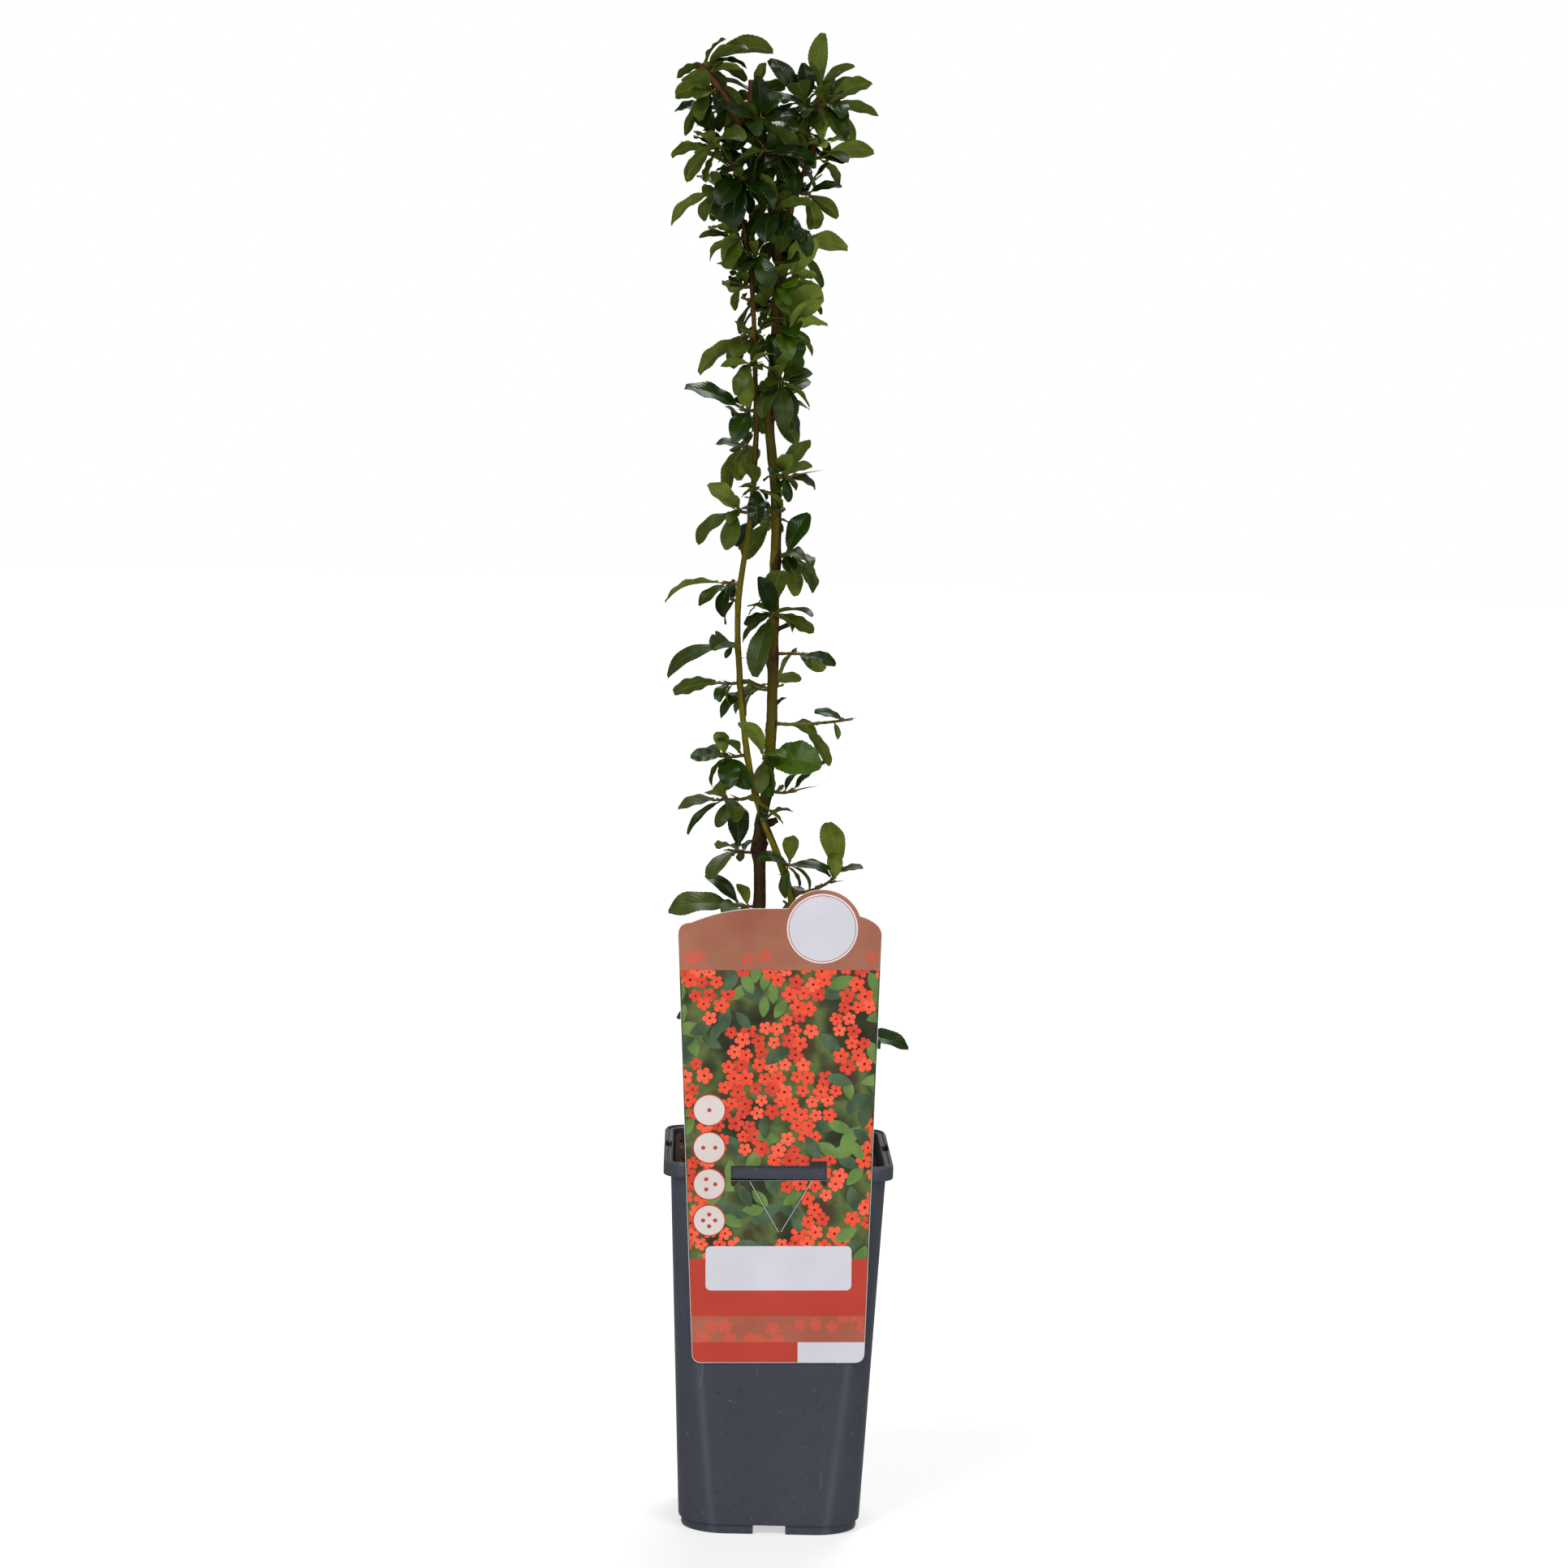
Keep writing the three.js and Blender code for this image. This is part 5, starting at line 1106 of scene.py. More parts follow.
def make_pot(paint):
    """A shell lofted through rounded squares, with gaps in its foot, slots in its rim and drain holes."""
    soup = Soup()
    add_rings(soup, np.array([rounded_square(*ring) for ring in pot_rings()]))
    pot = soup.build("pot_shell", [paint], "pot", ["pot"], sharp=POT_SHARP)

    span = 2 * POT.rim_half
    tools = [cutter(*prism(notch_outline(), -span, span, place))
             for place in (lambda x, y, d: (x, -d, y), lambda x, y, d: (d, x, y))]
    slot_half = POT.slot_width / 2
    slot_out, slot_in = (POT.rim_half - inset for inset in POT.slot_reach)
    slot = [(slot_in, -slot_half), (slot_out, -slot_half), (slot_out, slot_half), (slot_in, slot_half)]
    for c, s in ((1, 0), (0, 1), (-1, 0), (0, -1)):
        tools.append(cutter(*prism(slot, POT.height - POT.slot_depth, POT.height + 1,
                                   lambda x, y, d, c=c, s=s: (x * c - y * s, x * s + y * c, d))))
    far, floor = POT.drain_place, POT.foot_height + POT.floor
    for dx, dy in ((far, far), (far, -far), (-far, far), (-far, -far)):
        tools.append(cutter(*prism(circle(POT.drain_radius, 24), 0, 2 * floor,
                                   lambda x, y, d, dx=dx, dy=dy: (x + dx, y + dy, d))))
    for tool in tools:
        cut = pot.modifiers.new("cut", "BOOLEAN")
        cut.operation = "DIFFERENCE"
        cut.solver = "EXACT"
        cut.object = tool
    depsgraph = bpy.context.evaluated_depsgraph_get()
    mesh = bpy.data.meshes.new_from_object(pot.evaluated_get(depsgraph))
    pot.modifiers.clear()
    pot.data = mesh
    mesh.set_sharp_from_angle(angle=math.radians(POT_SHARP))
    for tool in tools:
        bpy.data.objects.remove(tool)


def icosahedron():
    """Corners and outward faces of a regular body of twenty triangles, of radius 1."""
    phi = (1 + math.sqrt(5)) / 2
    pairs = [(a, b * phi) for a in (-1, 1) for b in (-1, 1)]
    corners = [(a, b, 0) for a, b in pairs] + [(0, a, b) for a, b in pairs] + [(b, 0, a) for a, b in pairs]
    corners = np.array(corners) / math.sqrt(1 + phi * phi)
    edge = min(math.dist(corners[0], c) for c in corners[1:]) * 1.01
    near = [[math.dist(a, b) < edge for b in corners] for a in corners]
    faces = []
    for i, j, k in itertools.combinations(range(12), 3):
        if near[i][j] and near[j][k] and near[i][k]:
            inward = np.cross(corners[j] - corners[i], corners[k] - corners[i]) @ corners[i] < 0
            faces.append((i, k, j) if inward else (i, j, k))
    return corners, faces


def bed_height(x, y):
    """Height of the compost's uneven surface, which is heaped up at the left and falls off to its edge."""
    wide = noise.noise(Vector((x / BED.wide, y / BED.wide, 3.1)))
    fine = noise.noise(Vector((x / BED.fine, y / BED.fine, 8.7)))
    edge = max(abs(x), abs(y)) - (POT.neck_half - BED.edge)
    heap = min(1, max(0, (HEAP.start - x) / HEAP.run)) ** 2
    return COMPOST_TOP + 1.0 + 1.5 * wide + 0.9 * fine - 0.16 * max(0, edge) + HEAP.rise * heap


def make_bed(half, radius, material):
    soup = Soup()
    rings = []
    for share in np.linspace(1, 0.02, 30):
        ring = rounded_square(half * share, radius * share, 0, steps=24)
        rings.append([(x, y, bed_height(x, y)) for x, y, _ in ring])
    skirt = [[(x, y, COMPOST_TOP - BED.skirt) for x, y, _ in rings[0]]]
    add_rings(soup, np.array(skirt + rings))
    soup.build("compost_bed", [material], "compost", ["compost"], sharp=80)


def make_crumbs(half, radius, materials, random):
    """Loose crumbs: dented bodies of twenty faces, turned and stretched by chance."""
    soup = Soup()
    corners, faces = icosahedron()
    for _ in range(CRUMBS.count):
        x, y = (pick(random, (-half + CRUMBS.margin, half - CRUMBS.margin)) for _ in range(2))
        if math.hypot(*(max(0, abs(v) - half + radius) for v in (x, y))) > radius - CRUMBS.margin:
            continue
        size = CRUMBS.least + CRUMBS.range * random() ** 3
        stretch = vector(*(pick(random, ends) for ends in CRUMBS.stretch))
        turn = np.array(Matrix.Rotation(FULL_TURN * random(), 3, vector(random(), random(), random())))
        rough = corners * np.array([[0.75 + 0.5 * random()] for _ in corners])
        points = (rough * stretch * size) @ turn.T + vector(x, y, bed_height(x, y) + 0.2 * size)
        soup.add(points, faces, kind=int(random() < CRUMBS.pale))
    soup.build("compost_crumbs", materials, "compost", ["compost"], sharp=20)


def make_fibres(half, material, random):
    """Thin bent fibres on the bed, which stop near its edge. The longer ones are bowed up."""
    soup = Soup()
    for _ in range(FIBRES.count):
        x, y = (pick(random, (-half + FIBRES.margin, half - FIBRES.margin)) for _ in range(2))
        to, bend, length = 360 * random(), pick(random, FIBRES.bend), pick(random, FIBRES.length)
        bow = FIBRES.bow if length > FIBRES.long else 0
        points = []
        for k in range(FIBRES.steps + 1):
            rise = bow * math.sin(k / FIBRES.steps * math.pi)
            points.append((x, y, bed_height(x, y) + FIBRES.lift + rise))
            step = heading(to) * length / FIBRES.steps
            x, y, to = x + step[0], y + step[1], to + bend
            if max(abs(x), abs(y)) > half - FIBRES.edge:
                break
        if len(points) > 3:
            add_tube(soup, points, [pick(random, FIBRES.radius)] * len(points), 5)
    soup.build("compost_fibres", [material], "compost", ["compost"])


def make_compost(bed, crumb, fibre):
    half, radius = wall_at(COMPOST_TOP)
    half, radius = half - POT.wall - CLEAR, radius - POT.wall
    make_bed(half, radius, bed)
    random = seeded(SEEDS.crumbs)
    make_crumbs(half, radius, [bed, crumb], random)
    make_fibres(half, fibre, random)


# ---------------------------------------------------------------- label


def label_lean():
    """How far the card leans, and where the middle of its window lies."""
    clear = CLEAR + SEAT
    middle = POT.height - POT.rim_band / 2
    high_y, high_z = -POT.rim_half - clear, POT.height - POT.rim_band + POT.rim_edge
    low_z = middle + LABEL.bottom
    low_y = -wall_at(low_z)[0] - clear
    lean = math.atan2(low_y - high_y, high_z - low_z)
    return lean, high_y - (middle - high_z) * math.tan(lean), middle


LEAN, CARD_Y, CARD_Z = label_lean()


def on_card(x, y, depth):
    """A point of the card: x and y on its face from the middle of the window, depth out from its back."""
    cx, cy = turned_2d(x, y, math.radians(LABEL.turn))
    return (cx, CARD_Y - cy * math.sin(LEAN) - depth * math.cos(LEAN),
            CARD_Z + cy * math.cos(LEAN) - depth * math.sin(LEAN))


def bend_through(a, control, b, steps=8):
    """A quadratic curve's points, without its last."""
    a, control, b = (vector(*p) for p in (a, control, b))
    return [tuple(lerp(lerp(a, control, t), lerp(control, b, t), t)) for t in np.arange(steps) / steps]


def card_outline():
    """Counter-clockwise from the foot of the left edge."""
    L = LABEL
    low, foot, inner = L.bottom, L.bottom_half, L.top_half - L.shoulder_run
    outline = bend_through((-foot, low + L.corner), (-foot, low), (-foot + L.corner, low))
    outline += bend_through((foot - L.corner, low), (foot, low), (foot, low + L.corner))
    outline += [(foot, low + L.corner)]
    arch = arc((L.bump_x, L.bump_height), L.bump_radius, *L.bump_arc, steps=29)
    outline += bend_through((L.top_half, L.side), (L.top_half, L.shoulder), arch[0])
    outline += arch
    crest = ((L.crest_x - inner) / 2, L.crest)
    outline += bend_through((L.crest_x, L.crest), crest, (-inner, L.shoulder), 12)
    outline += bend_through((-inner, L.shoulder), (-L.top_half, L.shoulder), (-L.top_half, L.side))
    return outline + [(-L.top_half, L.side)]


def clipped(outline, low=None, high=None, left=None, right=None):
    """An outline cut by level and upright lines."""
    for axis, limit, sign in ((1, low, 1), (1, high, -1), (0, left, 1), (0, right, -1)):
        if limit is None:
            continue
        kept = []
        for a, b in zip(outline, outline[1:] + outline[:1]):
            da, db = sign * (a[axis] - limit), sign * (b[axis] - limit)
            if da >= 0:
                kept.append(a)
            if da * db < 0:
                share = da / (da - db)
                kept.append((lerp(a[0], b[0], share), lerp(a[1], b[1], share)))
        outline = kept
    return outline if len(outline) > 2 else []


def round_window(outline):
    """The parts of an outline that lie round the card's window."""
    L = LABEL
    beside = clipped(outline, low=L.window_low, high=L.window_high)
    parts = [clipped(outline, low=L.window_high), clipped(outline, high=L.window_low),
             clipped(beside, right=-L.window_half), clipped(beside, left=L.window_half)]
    return [part for part in parts if part]


def disc(x, y, radius, steps=40):
    return [(x + dx, y + dy) for dx, dy in circle(radius, steps)]


def rounded_box(left, right, low, high, radius, steps=6):
    outline = []
    for cx, cy, start in ((right - radius, low + radius, -90), (right - radius, high - radius, 0),
                          (left + radius, high - radius, 90), (left + radius, low + radius, 180)):
        outline += arc((cx, cy), radius, start, start + 90, steps)
    return outline


def flower(x, y, radius, turn):
    """A round flower of five petals with narrow gaps."""
    outline = []
    for k in range(60):
        a = 2 * math.pi * k / 60
        reach = radius * (0.5 + 0.5 * abs(math.cos(2.5 * a)) ** 0.5)
        outline.append((x + reach * math.cos(a + turn), y + reach * math.sin(a + turn)))
    return outline


def leaf_shape(x, y, length, half, turn):
    outline = []
    for side in (1, -1):
        for k in range(12):
            s = k / 12 if side == 1 else 1 - k / 12
            u, v = turned_2d(length * (s - 0.5), side * half * math.sin(math.pi * s) ** 0.8, turn)
            outline.append((x + u, y + v))
    return outline


class Print:
    """The card's print: thin layers of ink, each cut to a band of the card and round its window."""

    def __init__(self, names):
        self.names = names
        self.soup = Soup()

    def ink(self, name, shape, layer, **band):
        depth = LABEL.front + INK_LAYER * layer
        for part in round_window(clipped(shape, **band)):
            self.soup.add(*prism(part, depth - INK_LAYER, depth, on_card), kind=self.names.index(name))


def print_field(card):
    """Small flowers and leaves in rows on the field, the header beside the badge, and part of the strip."""
    L = LABEL
    random = seeded(SEEDS.print)
    slope = (L.top_half - L.bottom_half) / (L.side - L.bottom)
    for row, column in itertools.product(range(-18, 19), range(-8, 9)):
        x = (column + 0.5 * (row % 2)) * MOTIF.spacing + pick(random, (-2, 2))
        y = row * MOTIF.spacing * 0.8 + pick(random, (-1.5, 1.5))
        reach = L.bottom_half + (y - L.bottom) * slope - 0.9
        size, turn, chance = pick(random, MOTIF.size), FULL_TURN * random(), random()
        layer = 2 + 0.5 * (row % 3 * 3 + column % 3)
        if L.field - size < y < L.header + size:
            (leaves, reds, eye), low, high = MOTIF_INKS["field"], L.field, L.header
        elif y > L.header and abs(x - L.bump_x) > MOTIF.badge_room and y < MOTIF.top:
            (leaves, reds, eye), low, high = MOTIF_INKS["header"], L.header, None
        elif L.foot - size < y < L.strip + size and chance < MOTIF.strip_share:
            (leaves, reds, eye), low, high = MOTIF_INKS["strip"], L.foot, L.strip
        else:
            continue
        cut = dict(low=low, high=high, left=-reach, right=reach)
        thick = noise.noise(Vector((x / 19, y / 23, 4.4))) + 0.25 * noise.noise(Vector((x / 6, y / 6, 1.2)))
        if y > L.header:
            thick += MOTIF.header_thick
        if thick >= MOTIF.open:
            card.ink(reds[int(6.6 * chance) % 3], flower(x, y, size, turn), layer, **cut)
            card.ink(eye, disc(x, y, 0.18 * size, 14), layer + 0.25, **cut)
        elif chance < 0.5:
            shape = leaf_shape(x, y, 3.4 * size, 0.8 * size, turn)
            card.ink(leaves[int(4 * chance)], shape, layer, **cut)


def print_badges(card, edge):
    """The round badge, the four discs with one to four dots, and the blank panels."""
    L = LABEL
    for layer, (name, radius) in enumerate(BADGE, 8):
        card.ink(name, disc(L.bump_x, L.bump_height, radius, 72), layer)
    for k, y in enumerate(DISCS.heights):
        card.ink("band", disc(DISCS.x, y, DISCS.rim), 8)
        card.ink("pale", disc(DISCS.x, y, DISCS.face), 9)
        for dx, dy in circle(DISCS.dots_out if k else 0, k + 1):
            card.ink("band", disc(DISCS.x + dx, y + dy, DISCS.dot, 20), 10)
    card.ink("panel", rounded_box(*PANEL), 8)
    card.ink("panel", edge, 8, high=L.foot, left=11)


def print_window(card):
    """The tongue's cut shows as a bright edge beside a dark one of painted shade, and the window has an ear
    at each end and a strip at the top of its right end, also of painted shade.
    """
    low, high, tip = LABEL.window_low, LABEL.window_high, -34
    for side, start in ((-1, -15.8), (1, 17.8)):
        for name, shift, width in (("slit_shade", 0, 0.5), ("card", 0.5, 0.28)):
            near, far = side * shift, side * (shift + width)
            cut = [(start + far, low - 0.3), (start + near, low - 0.3), (0.6 + near, tip), (0.6 + far, tip)]
            card.ink(name, cut[::-side], 12)
        ear = [(side * x, low - y) for x, y in ((26.9, 0), (26.9, 2.6), (26, 3.3), (24.8, 3.1), (22.6, 0))]
        card.ink("slit_shade", ear[::-side], 12)
    left, right, low, high = 17.5, 26.9, high - 0.2, high + 2.6
    card.ink("slit_shade", [(left, low), (right, low), (right, high), (left, high)], 12)


def make_label(inks):
    """The card, and its print: bands, a field of small flowers and leaves, badges and blank panels."""
    L = LABEL
    outline = card_outline()
    sheet = Soup()
    for part in round_window(outline):
        sheet.add(*prism(part, L.back, L.front, on_card))
    sheet.build("label_sheet", [inks["card"]], "label", ["label_card"], sharp=20)

    card = Print(list(inks))
    edge = [(x * 0.996, lerp(20, y, 0.998)) for x, y in outline]  # just inside the card's own
    bands = [("header", L.header, None), ("field", L.field, L.header), ("band", L.strip, L.field),
             ("strip", L.foot, L.strip), ("band", None, L.foot)]
    for name, low, high in bands:
        card.ink(name, edge, 1, low=low, high=high)
    print_field(card)
    print_badges(card, edge)
    print_window(card)
    card.soup.build("label_print", list(inks.values()), "label", ["label_card"], sharp=20)


def label_inks():
    """Each ink is two shades mixed by noise, but the field's ground runs through several."""
    inks = {}
    for name, (a, b, scale) in INKS.items():
        inks[name] = plain_paint("ink_" + name, a, b, scale, 0.7 if name == "slit_shade" else 0.32)
    field = Paint("ink_field", 0.32, 0.4)
    stops = [(place, srgb(*colour)) for place, colour in FIELD_INK]
    field.set("Base Color", field.ramp(field.noise(34, 3), stops))
    inks["field"] = field.material
    return inks


# ---------------------------------------------------------------- bark, twigs, thorns and leaves


def swell(distance, width):
    """A smooth rise round a place: 1 there, and next to nothing at twice the width."""
    return np.exp(-((distance / width) ** 2))[:, None]


def limb_rings(limb, spurs, sides, step=2.2):
    """A limb's rings with the relief of its bark: ridges, swellings under its spurs and scars."""
    count = round(limb.length / step)
    points, radii = curve(limb.points, count), even_steps(limb.radii, count)
    rings, outward = tube_rings(points, radii, sides)
    heights = points[:, 2]
    lift, knots = np.zeros(outward.shape[:2]), np.zeros(outward.shape[:2])
    for i, j in itertools.product(range(count + 1), range(sides)):
        p = points[i] + outward[i, j] * radii[i]
        lift[i, j] = sum(share * radii[i] * noise.noise(Vector(p * fineness)) for share, fineness in RIDGES)
    for spur in spurs:
        if spur.on == limb.name:
            above = heights - spur.z
            facing = np.clip(outward @ spur.out, 0, 1)
            lift += UNDER_SPUR.swelling * swell(above, UNDER_SPUR.swelling_width) * facing**2
            lift += UNDER_SPUR.scar * swell(above + UNDER_SPUR.scar_below, UNDER_SPUR.scar_width)
            dark = UNDER_SPUR.dark + UNDER_SPUR.dark_side * facing
            knots += dark * swell(above, UNDER_SPUR.dark_width)
    for height, to, high in KNOTS if limb.name == "stem_main" else ():
        near = swell(heights - height, KNOT.width)
        facing = KNOT.back + (1 - KNOT.back) * np.clip(outward @ heading(to), 0, 1)
        rough = np.array([[noise.noise(Vector(p * 0.8)) for p in ring] for ring in rings])
        lift += high * near * facing * (1 + rough)
        knots += KNOT.dark * near * facing
    return rings + outward * lift[..., None], np.clip(knots, 0, 1)


def stubs_of(stem):
    """The pruned stubs of the main stem."""
    for height, to, length, radius in STUBS:
        place = limb_at(stem, height)
        along = heading(to, STUB_PITCH)
        end = place.point + along * (place.radius + length)
        yield SimpleNamespace(foot=place.point, end=end, along=along, radius=radius)


def add_collar(soup, limb, sides):
    """Carries a bough's foot into its carrier."""
    carrier, steps = limb.carrier, 8
    route = [carrier.point - vector(0, 0, 3), lerp(carrier.point, limb.points[0], 0.6), limb.line[1]]
    sizes = np.linspace(carrier.radius * 0.95, limb.radii[0] * 1.02, steps + 1)
    add_tube(soup, curve(route, steps), sizes, sides, marks=np.full((steps + 1, sides), 0.5))


def add_stub(soup, stub, sides):
    steps = 6
    uneven = 1 + 0.12 * np.sin(np.arange(steps + 1) * 2)
    sizes = np.linspace(stub.radius * 1.5, stub.radius, steps + 1) * uneven
    line = even_steps((stub.foot, stub.end), steps)
    add_tube(soup, line, sizes, sides, marks=np.ones((steps + 1, sides)))


def make_limbs(limbs, spurs, barks, wood):
    """The stems and boughs in their bark, and the pale wood of the cut ends."""
    main = limbs["stem_main"]
    stubs = list(stubs_of(main))
    for limb in limbs.values():
        sides = LIMB_SIDES.stem if limb.is_stem else LIMB_SIDES.bough
        soup = Soup()
        rings, knots = limb_rings(limb, spurs, sides)
        add_rings(soup, rings, marks=knots)
        if limb.carrier:
            add_collar(soup, limb, LIMB_SIDES.bough)
        for stub in stubs if limb is main else ():
            add_stub(soup, stub, LIMB_SIDES.bough)
        bark = barks.get(limb.name, barks["boughs"])
        slot = "bark" if limb.is_stem else "young_bark"
        soup.build(limb.name + "_bark", [bark], slot, [limb.name], sharp=50)
    cuts = Soup()
    ends = [(main.points[-1], main.line[-1] - main.line[-2], main.radii[1])]
    ends += [(stub.end, stub.along, stub.radius) for stub in stubs]
    for point, along, radius in ends:
        along = unit(along)
        add_tube(cuts, [point + along * far for far in (-0.3, 0.1, 0.25)],
                 [radius * share for share in (0.86, 0.84, 0.6)], 16)
    cuts.build("cut_ends", [wood], "bark", ["stem_main"])


def add_bud(soup, point, along, length, radius):
    add_tube(soup, [point + along * length * share for share, _ in BUD_SHAPE],
             [radius * width for _, width in BUD_SHAPE], 7)


def add_thorn(soup, foot, tip, radius, random):
    """A slender thorn, slightly bowed, on a wider foot."""
    along = tip - foot
    bow = flat_to(heading(360 * random(), 30), along) * 0.05 * math.sqrt(along @ along)
    add_tube(soup, [foot + along * share + bow * math.sin(math.pi * share) for share, _ in THORN_SHAPE],
             [radius * width for _, width in THORN_SHAPE], 8)


def make_twigs(limbs, spurs, crown, nodes, materials):
    """Twigs with a bud at the tip, thorns on them and on the limbs, and a bud above each leaf's foot."""
    twigs, thorns, buds = Soup(), Soup(), Soup()
    for spur in spurs:
        random = seeded(SEEDS.twigs + spur.seed)
        for k, line in enumerate(spur.twigs):
            points = list(line)
            if k == 0:
                points.insert(0, spur.place.point)
            count = 5 * (len(points) - 1)
            uneven = 1 + 0.1 * np.sin(np.arange(count + 1) * 1.7 + spur.seed)
            add_tube(twigs, curve(points, count), even_steps(TWIG_RADII[min(k, 1)], count) * uneven, 9)
            end = unit(line[-1] - line[-2])
            add_bud(buds, line[-1] - end * 0.4, end, pick(random, (1.8, 3)), pick(random, (0.7, 0.95)))
        if spur.thorn is not None:
            add_thorn(thorns, *spur.thorn, THORN_RADII.spur, random)
        for _ in range(2 if spur.thorn is not None else int(1.5 * random())):
            twig = spur.twigs[int(random() * len(spur.twigs))]
            foot = point_on(twig, 0.2 + 0.7 * random())
            along = heading(spur.to + pick(random, (-80, 80)), pick(random, (-10, 50)))
            add_thorn(thorns, foot, foot + along * pick(random, (3, 7)), THORN_RADII.twig, random)
    random = seeded(SEEDS.limb_thorns)
    for limb in limbs.values():
        for z in np.arange(limb.line[1][2], limb.line[-1][2] - 6, THORN_STEP):
            place = limb_at(limb, z + pick(random, (-6, 6)))
            out = unit(flat_to(heading(360 * random()), place.along))
            foot = place.point + out * place.radius * 0.8
            tip = foot + unit(out + place.along * pick(random, (-0.2, 0.7))) * pick(random, (1.8, 4.2))
            add_thorn(thorns, foot, tip, THORN_RADII.limb, random)
    for leaf in crown.leaves:
        add_bud(buds, leaf.foot + leaf.normal * 0.7, unit(leaf.normal + 0.7 * leaf.along), 1.3, 0.5)
    for name, soup in (("twigs", twigs), ("thorns", thorns), ("buds", buds)):
        soup.build(name, [materials[name]], "foliage", nodes)


def midline(leaf, share, curl):
    """Points along the middle of a blade, whose end half curls down, and its upward direction at each."""
    u, w = arch_at(leaf.length, leaf.bend, share)
    w = w - curl * np.clip((share - 0.55) / 0.45, 0, 1) ** 2
    tilt = leaf.bend * (share - 0.5)
    up = np.cos(tilt)[:, None] * leaf.normal + np.sin(tilt)[:, None] * leaf.along
    return leaf.foot + u[:, None] * leaf.along + w[:, None] * leaf.normal, up


def thickness_at(share):
    return np.clip(1.3 - share, 0.35, 1) * BLADE.thickness


def add_leaf(leaves, stalks, leaf, random):
    """A thin closed blade on the leaf's arch, toothed, folded along its midrib, waved and twisted."""
    small = leaf.length < BLADE.small
    rows = BLADE.small_stations if small else BLADE.stations
    columns = SMALL_COLUMNS if small else COLUMNS
    fold, waves, phase = pick(random, BLADE.fold), pick(random, BLADE.waves), FULL_TURN * random()
    ripple, twist = pick(random, BLADE.ripple), math.radians(pick(random, BLADE.twist))
    fullness, recurve = pick(random, BLADE.fullness), pick(random, BLADE.recurve)
    curl = pick(random, BLADE.curl) * leaf.length

    share = PETIOLE * 0.8 + (1 - PETIOLE * 0.8) * (np.arange(rows) / (rows - 1))
    middle, up = midline(leaf, share, curl)
    teeth = np.where(np.arange(rows) % 2, 1, 1 - BLADE.tooth)
    teeth[[0, -1]] = 1
    half = blade_half(leaf.half, share, fullness)
    across = half[:, None] * columns * np.where(np.abs(columns) == 1, teeth[:, None], 1)
    lift = fold * np.abs(across) - recurve * across**2 / leaf.half
    wave = np.sin(waves * FULL_TURN * share + phase)[:, None]
    lift += ripple * leaf.half * wave * columns * np.abs(columns)
    angle = twist * (share[:, None] - 0.3)
    side = across * np.cos(angle) - lift * np.sin(angle)
    rise = across * np.sin(angle) + lift * np.cos(angle)
    upper = middle[:, None, :] + side[..., None] * leaf.side + rise[..., None] * up[:, None, :]
    lower = upper - up[:, None, :] * thickness_at(share)[:, None, None]

    count = len(columns)
    size = rows * count
    uv = np.stack(np.broadcast_arrays(share[:, None], (columns + 1) / 2), -1).reshape(-1, 2)
    faces_up = grid_faces(rows, count)
    faces_down = [tuple(size + i for i in reversed(face)) for face in faces_up]
    rim = [i * count for i in range(rows)] + [(rows - 1) * count + j for j in range(1, count)]
    rim += [i * count + count - 1 for i in range(rows - 2, -1, -1)] + list(range(count - 2, 0, -1))
    edge = [(a, b, size + b, size + a) for a, b in zip(rim, rim[1:] + rim[:1])]
    kinds_before = len(leaves.kinds)
    points = np.vstack([upper.reshape(-1, 3), lower.reshape(-1, 3)])
    leaves.add(points, faces_up + faces_down + edge, 0, np.vstack([uv, uv]))
    leaves.kinds[kinds_before + len(faces_up):] = [1] * (len(faces_down) + len(edge))

    rib = np.linspace(0, 0.94, 9 if small else 14)
    middle, up = midline(leaf, rib, curl)
    sink = thickness_at(rib) * np.clip((rib - PETIOLE / 2) / PETIOLE, 0, 1)
    radii = min(1, leaf.length / 26) * np.interp(rib, *STALK_SHAPE)
    add_tube(stalks, middle - up * sink[:, None], radii, 6)


def tint_of(spur, leaf_random, length):
    """A leaf's tint: its spray's own, or dealt out by spray, darker high up and younger where small."""
    if spur.number == FRESH_SPUR:
        return "fresh"
    own = [tint for tint, numbers in TINTED.items() if spur.number + 1 in numbers]
    if own and leaf_random() < TINTING.kept:
        return own[0]
    chance = TINTING.spray * seeded(SEEDS.spray * spur.seed)() + (1 - TINTING.spray) * leaf_random()
    if length < TINTING.small:
        chance += TINTING.small_shift
    if spur.z > TINTING.high:
        chance += TINTING.high_shift
    return next(tint for tint, least in TINT_SHARES if chance < least)


def make_leaves(crown, nodes, paints, stalk):
    """The blades, joined by tint, and their stalks and midribs."""
    soups = {tint: Soup() for tint in LEAF_TINTS}
    stalks = Soup()
    for number, leaf in enumerate(crown.leaves):
        random = seeded(SEEDS.leaves + number)
        add_leaf(soups[tint_of(leaf.spur, random, leaf.length)], stalks, leaf, random)
    for tint, soup in soups.items():
        soup.build("leaves_" + tint, paints[tint], "foliage", nodes, sharp=55)
    stalks.build("leaf_stalks", [stalk], "foliage", nodes)


# ---------------------------------------------------------------- studio


def place_light(kind, name, place, target, power, **settings):
    light = bpy.data.lights.new(name, kind)
    light.energy = power
    for key, value in settings.items():
        setattr(light, key, value)
    made = add_object(name, light)
    made.location = place
    made.rotation_euler = (Vector(target) - Vector(place)).to_track_quat("-Z", "Y").to_euler()


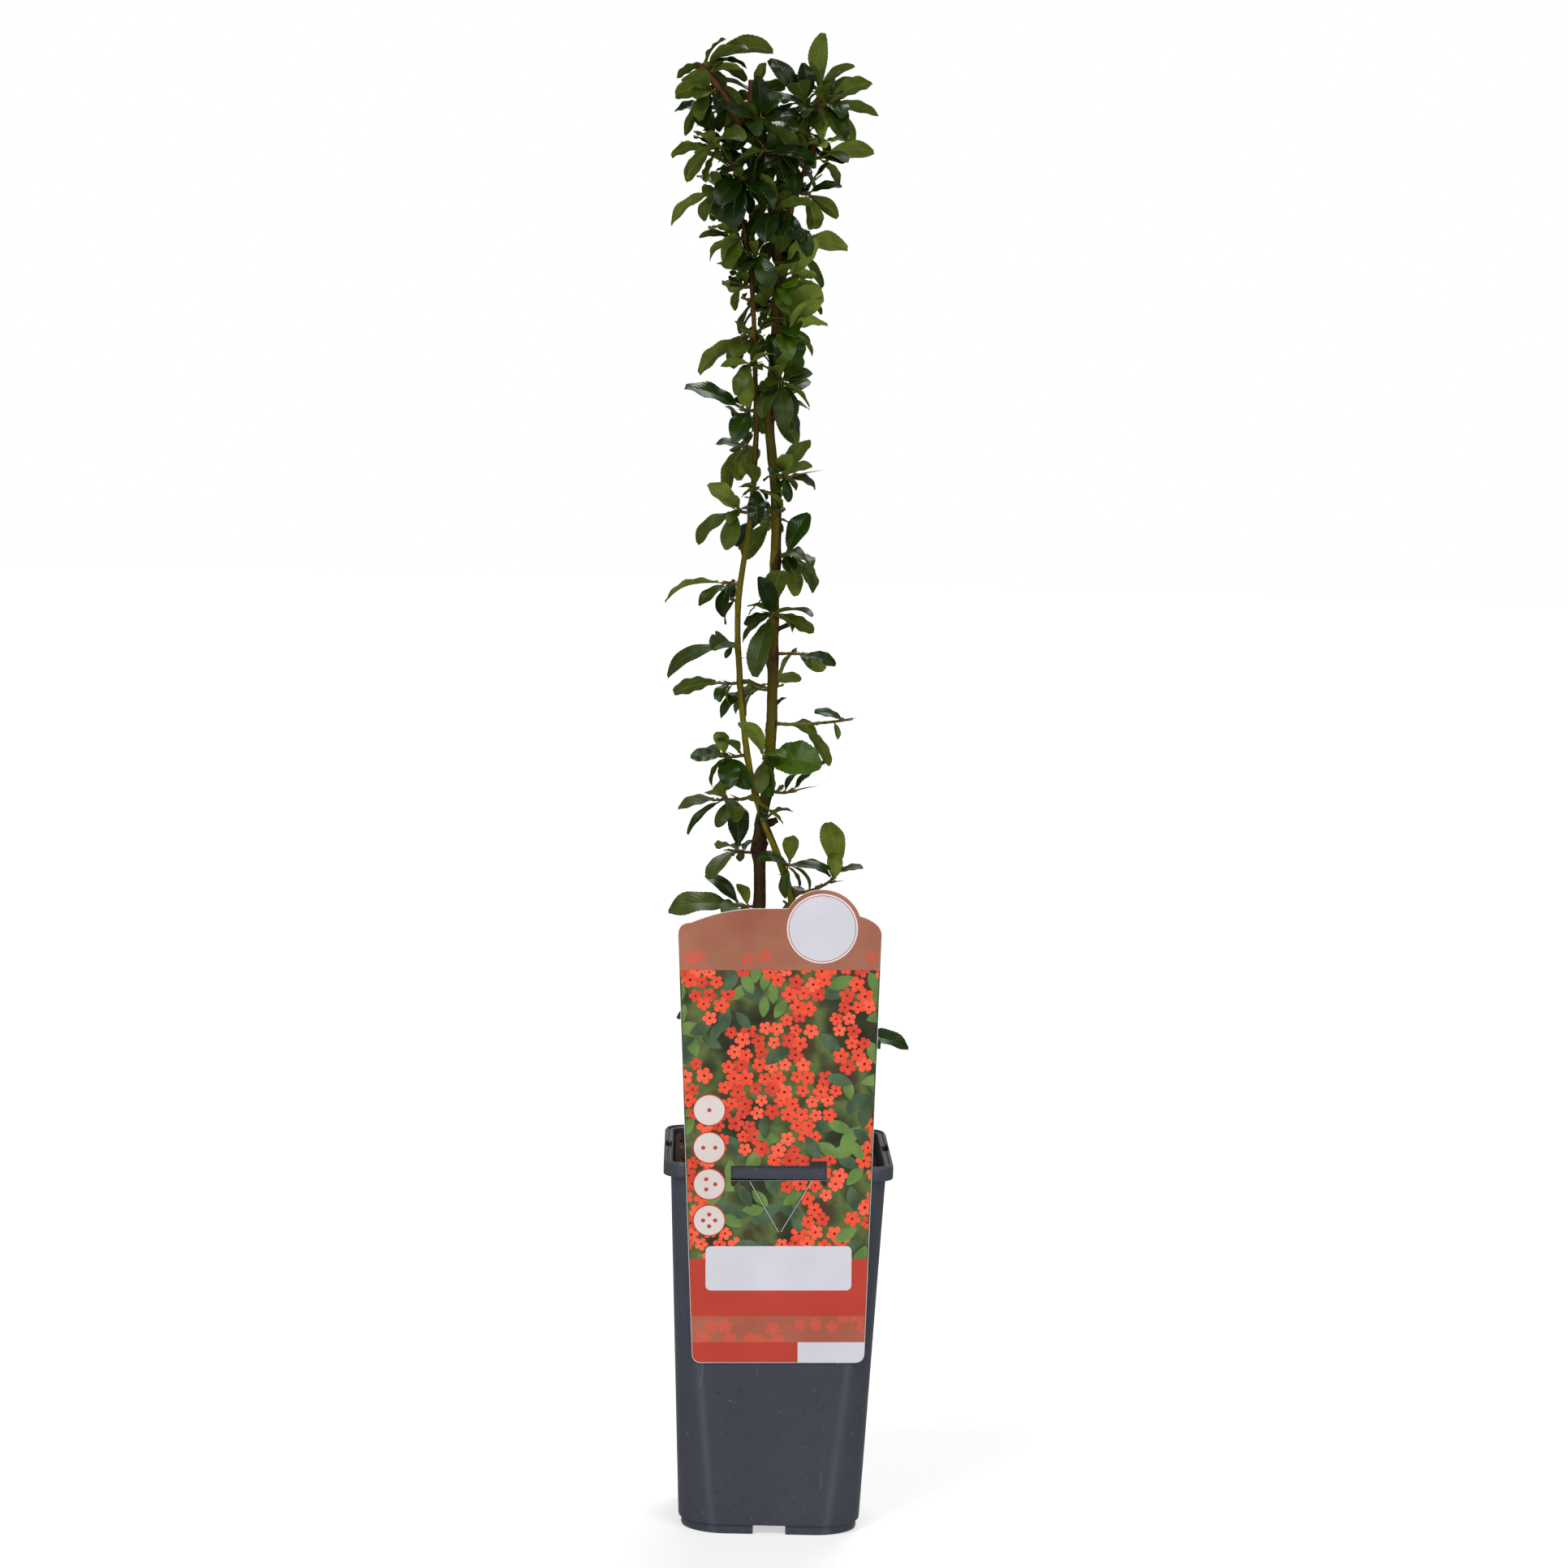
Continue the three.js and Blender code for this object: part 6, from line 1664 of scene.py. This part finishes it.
def stage_mesh(name, points, faces, grey, glow):
    """A piece of the studio, of a grey that also gives off white light."""
    paint = Paint(name, 1, 0)
    for socket, value in (("Base Color", (grey, grey, grey, 1)), ("Emission Color", (1, 1, 1, 1)),
                          ("Emission Strength", glow)):
        paint.set(socket, value)
    mesh = bpy.data.meshes.new(name)
    mesh.from_pydata(points, [], faces)
    mesh.materials.append(paint.material)
    made = add_object(name, mesh)
    return made


def make_studio():
    """A white floor that runs into a white wall far behind, under soft suns and two upright soft boxes."""
    scene = bpy.context.scene
    scene.view_settings.view_transform = "Standard"
    world = bpy.data.worlds.new("studio")
    world.use_nodes = True
    background = world.node_tree.nodes["Background"]
    background.inputs["Color"].default_value = (1, 1, 1, 1)
    background.inputs["Strength"].default_value = STUDIO.ambient
    scene.world = world
    for name, place, power, angle in STUDIO.suns:
        place_light("SUN", name, place, (0, 0, 0), power, angle=math.radians(angle))
    for name, place, power in STUDIO.boxes:
        place_light("AREA", name, place, (0, 0, place[2]), power, shape="RECTANGLE", size=0.36, size_y=1)

    reach, sides = STUDIO.reach, 48
    square = [(-reach, -reach, 0), (reach, -reach, 0), (reach, reach, 0), (-reach, reach, 0)]
    floor = stage_mesh("floor", square, [(0, 1, 2, 3)], STUDIO.floor, STUDIO.glow)
    floor.visible_glossy = False
    points = [(x, y, z) for z in (-2, reach) for x, y in circle(reach, sides)]
    faces = ring_faces(sides) + [tuple(range(sides, 2 * sides))]
    backdrop = stage_mesh("backdrop", points, faces, 0, STUDIO.wall)
    for ray in ("diffuse", "glossy", "transmission", "shadow"):
        setattr(backdrop, "visible_" + ray, False)


def make_camera():
    """In front of the label's side and a little aside of it, looking down a little and rolled."""
    lens = bpy.data.cameras.new("camera")
    lens.lens = CAMERA.lens
    lens.sensor_width = CAMERA.sensor
    camera = add_object("camera", lens)
    turn = Matrix.Rotation(math.radians(-CAMERA.azimuth), 4, "Z")
    place = Matrix.Translation((CAMERA.aside, -CAMERA.distance, CAMERA.height))
    tilt = Matrix.Rotation(math.radians(90 - CAMERA.tilt), 4, "X")
    roll = Matrix.Rotation(math.radians(CAMERA.roll), 4, "Z")
    camera.matrix_world = turn @ place @ tilt @ roll
    bpy.context.scene.camera = camera


# ---------------------------------------------------------------- the whole plant


def main():
    make_camera()
    make_studio()
    limbs = {}
    for name in LIMBS:
        limbs[name] = make_limb(name, limbs)
    spurs = [make_spur(number, row, limbs) for number, row in enumerate(SPURS)]
    nodes = [spur.node for spur in spurs]
    crown, spurs = grow_crown(limbs, spurs)
    plain = {name: plain_paint(name, *row) for name, row in PLAIN_PAINTS.items()}
    make_limbs(limbs, spurs, limb_paints(), plain["cut_wood"])
    wood = {"twigs": plain["twig_bark"], "thorns": plain["thorn"], "buds": plain["bud"]}
    make_twigs(limbs, spurs, crown, nodes, wood)
    make_leaves(crown, nodes, leaf_paints(), plain["leaf_stalk"])
    make_pot(pot_paint())
    make_compost(plain["compost"], plain["compost_chip"], plain["compost_fibre"])
    make_label(label_inks())


main()
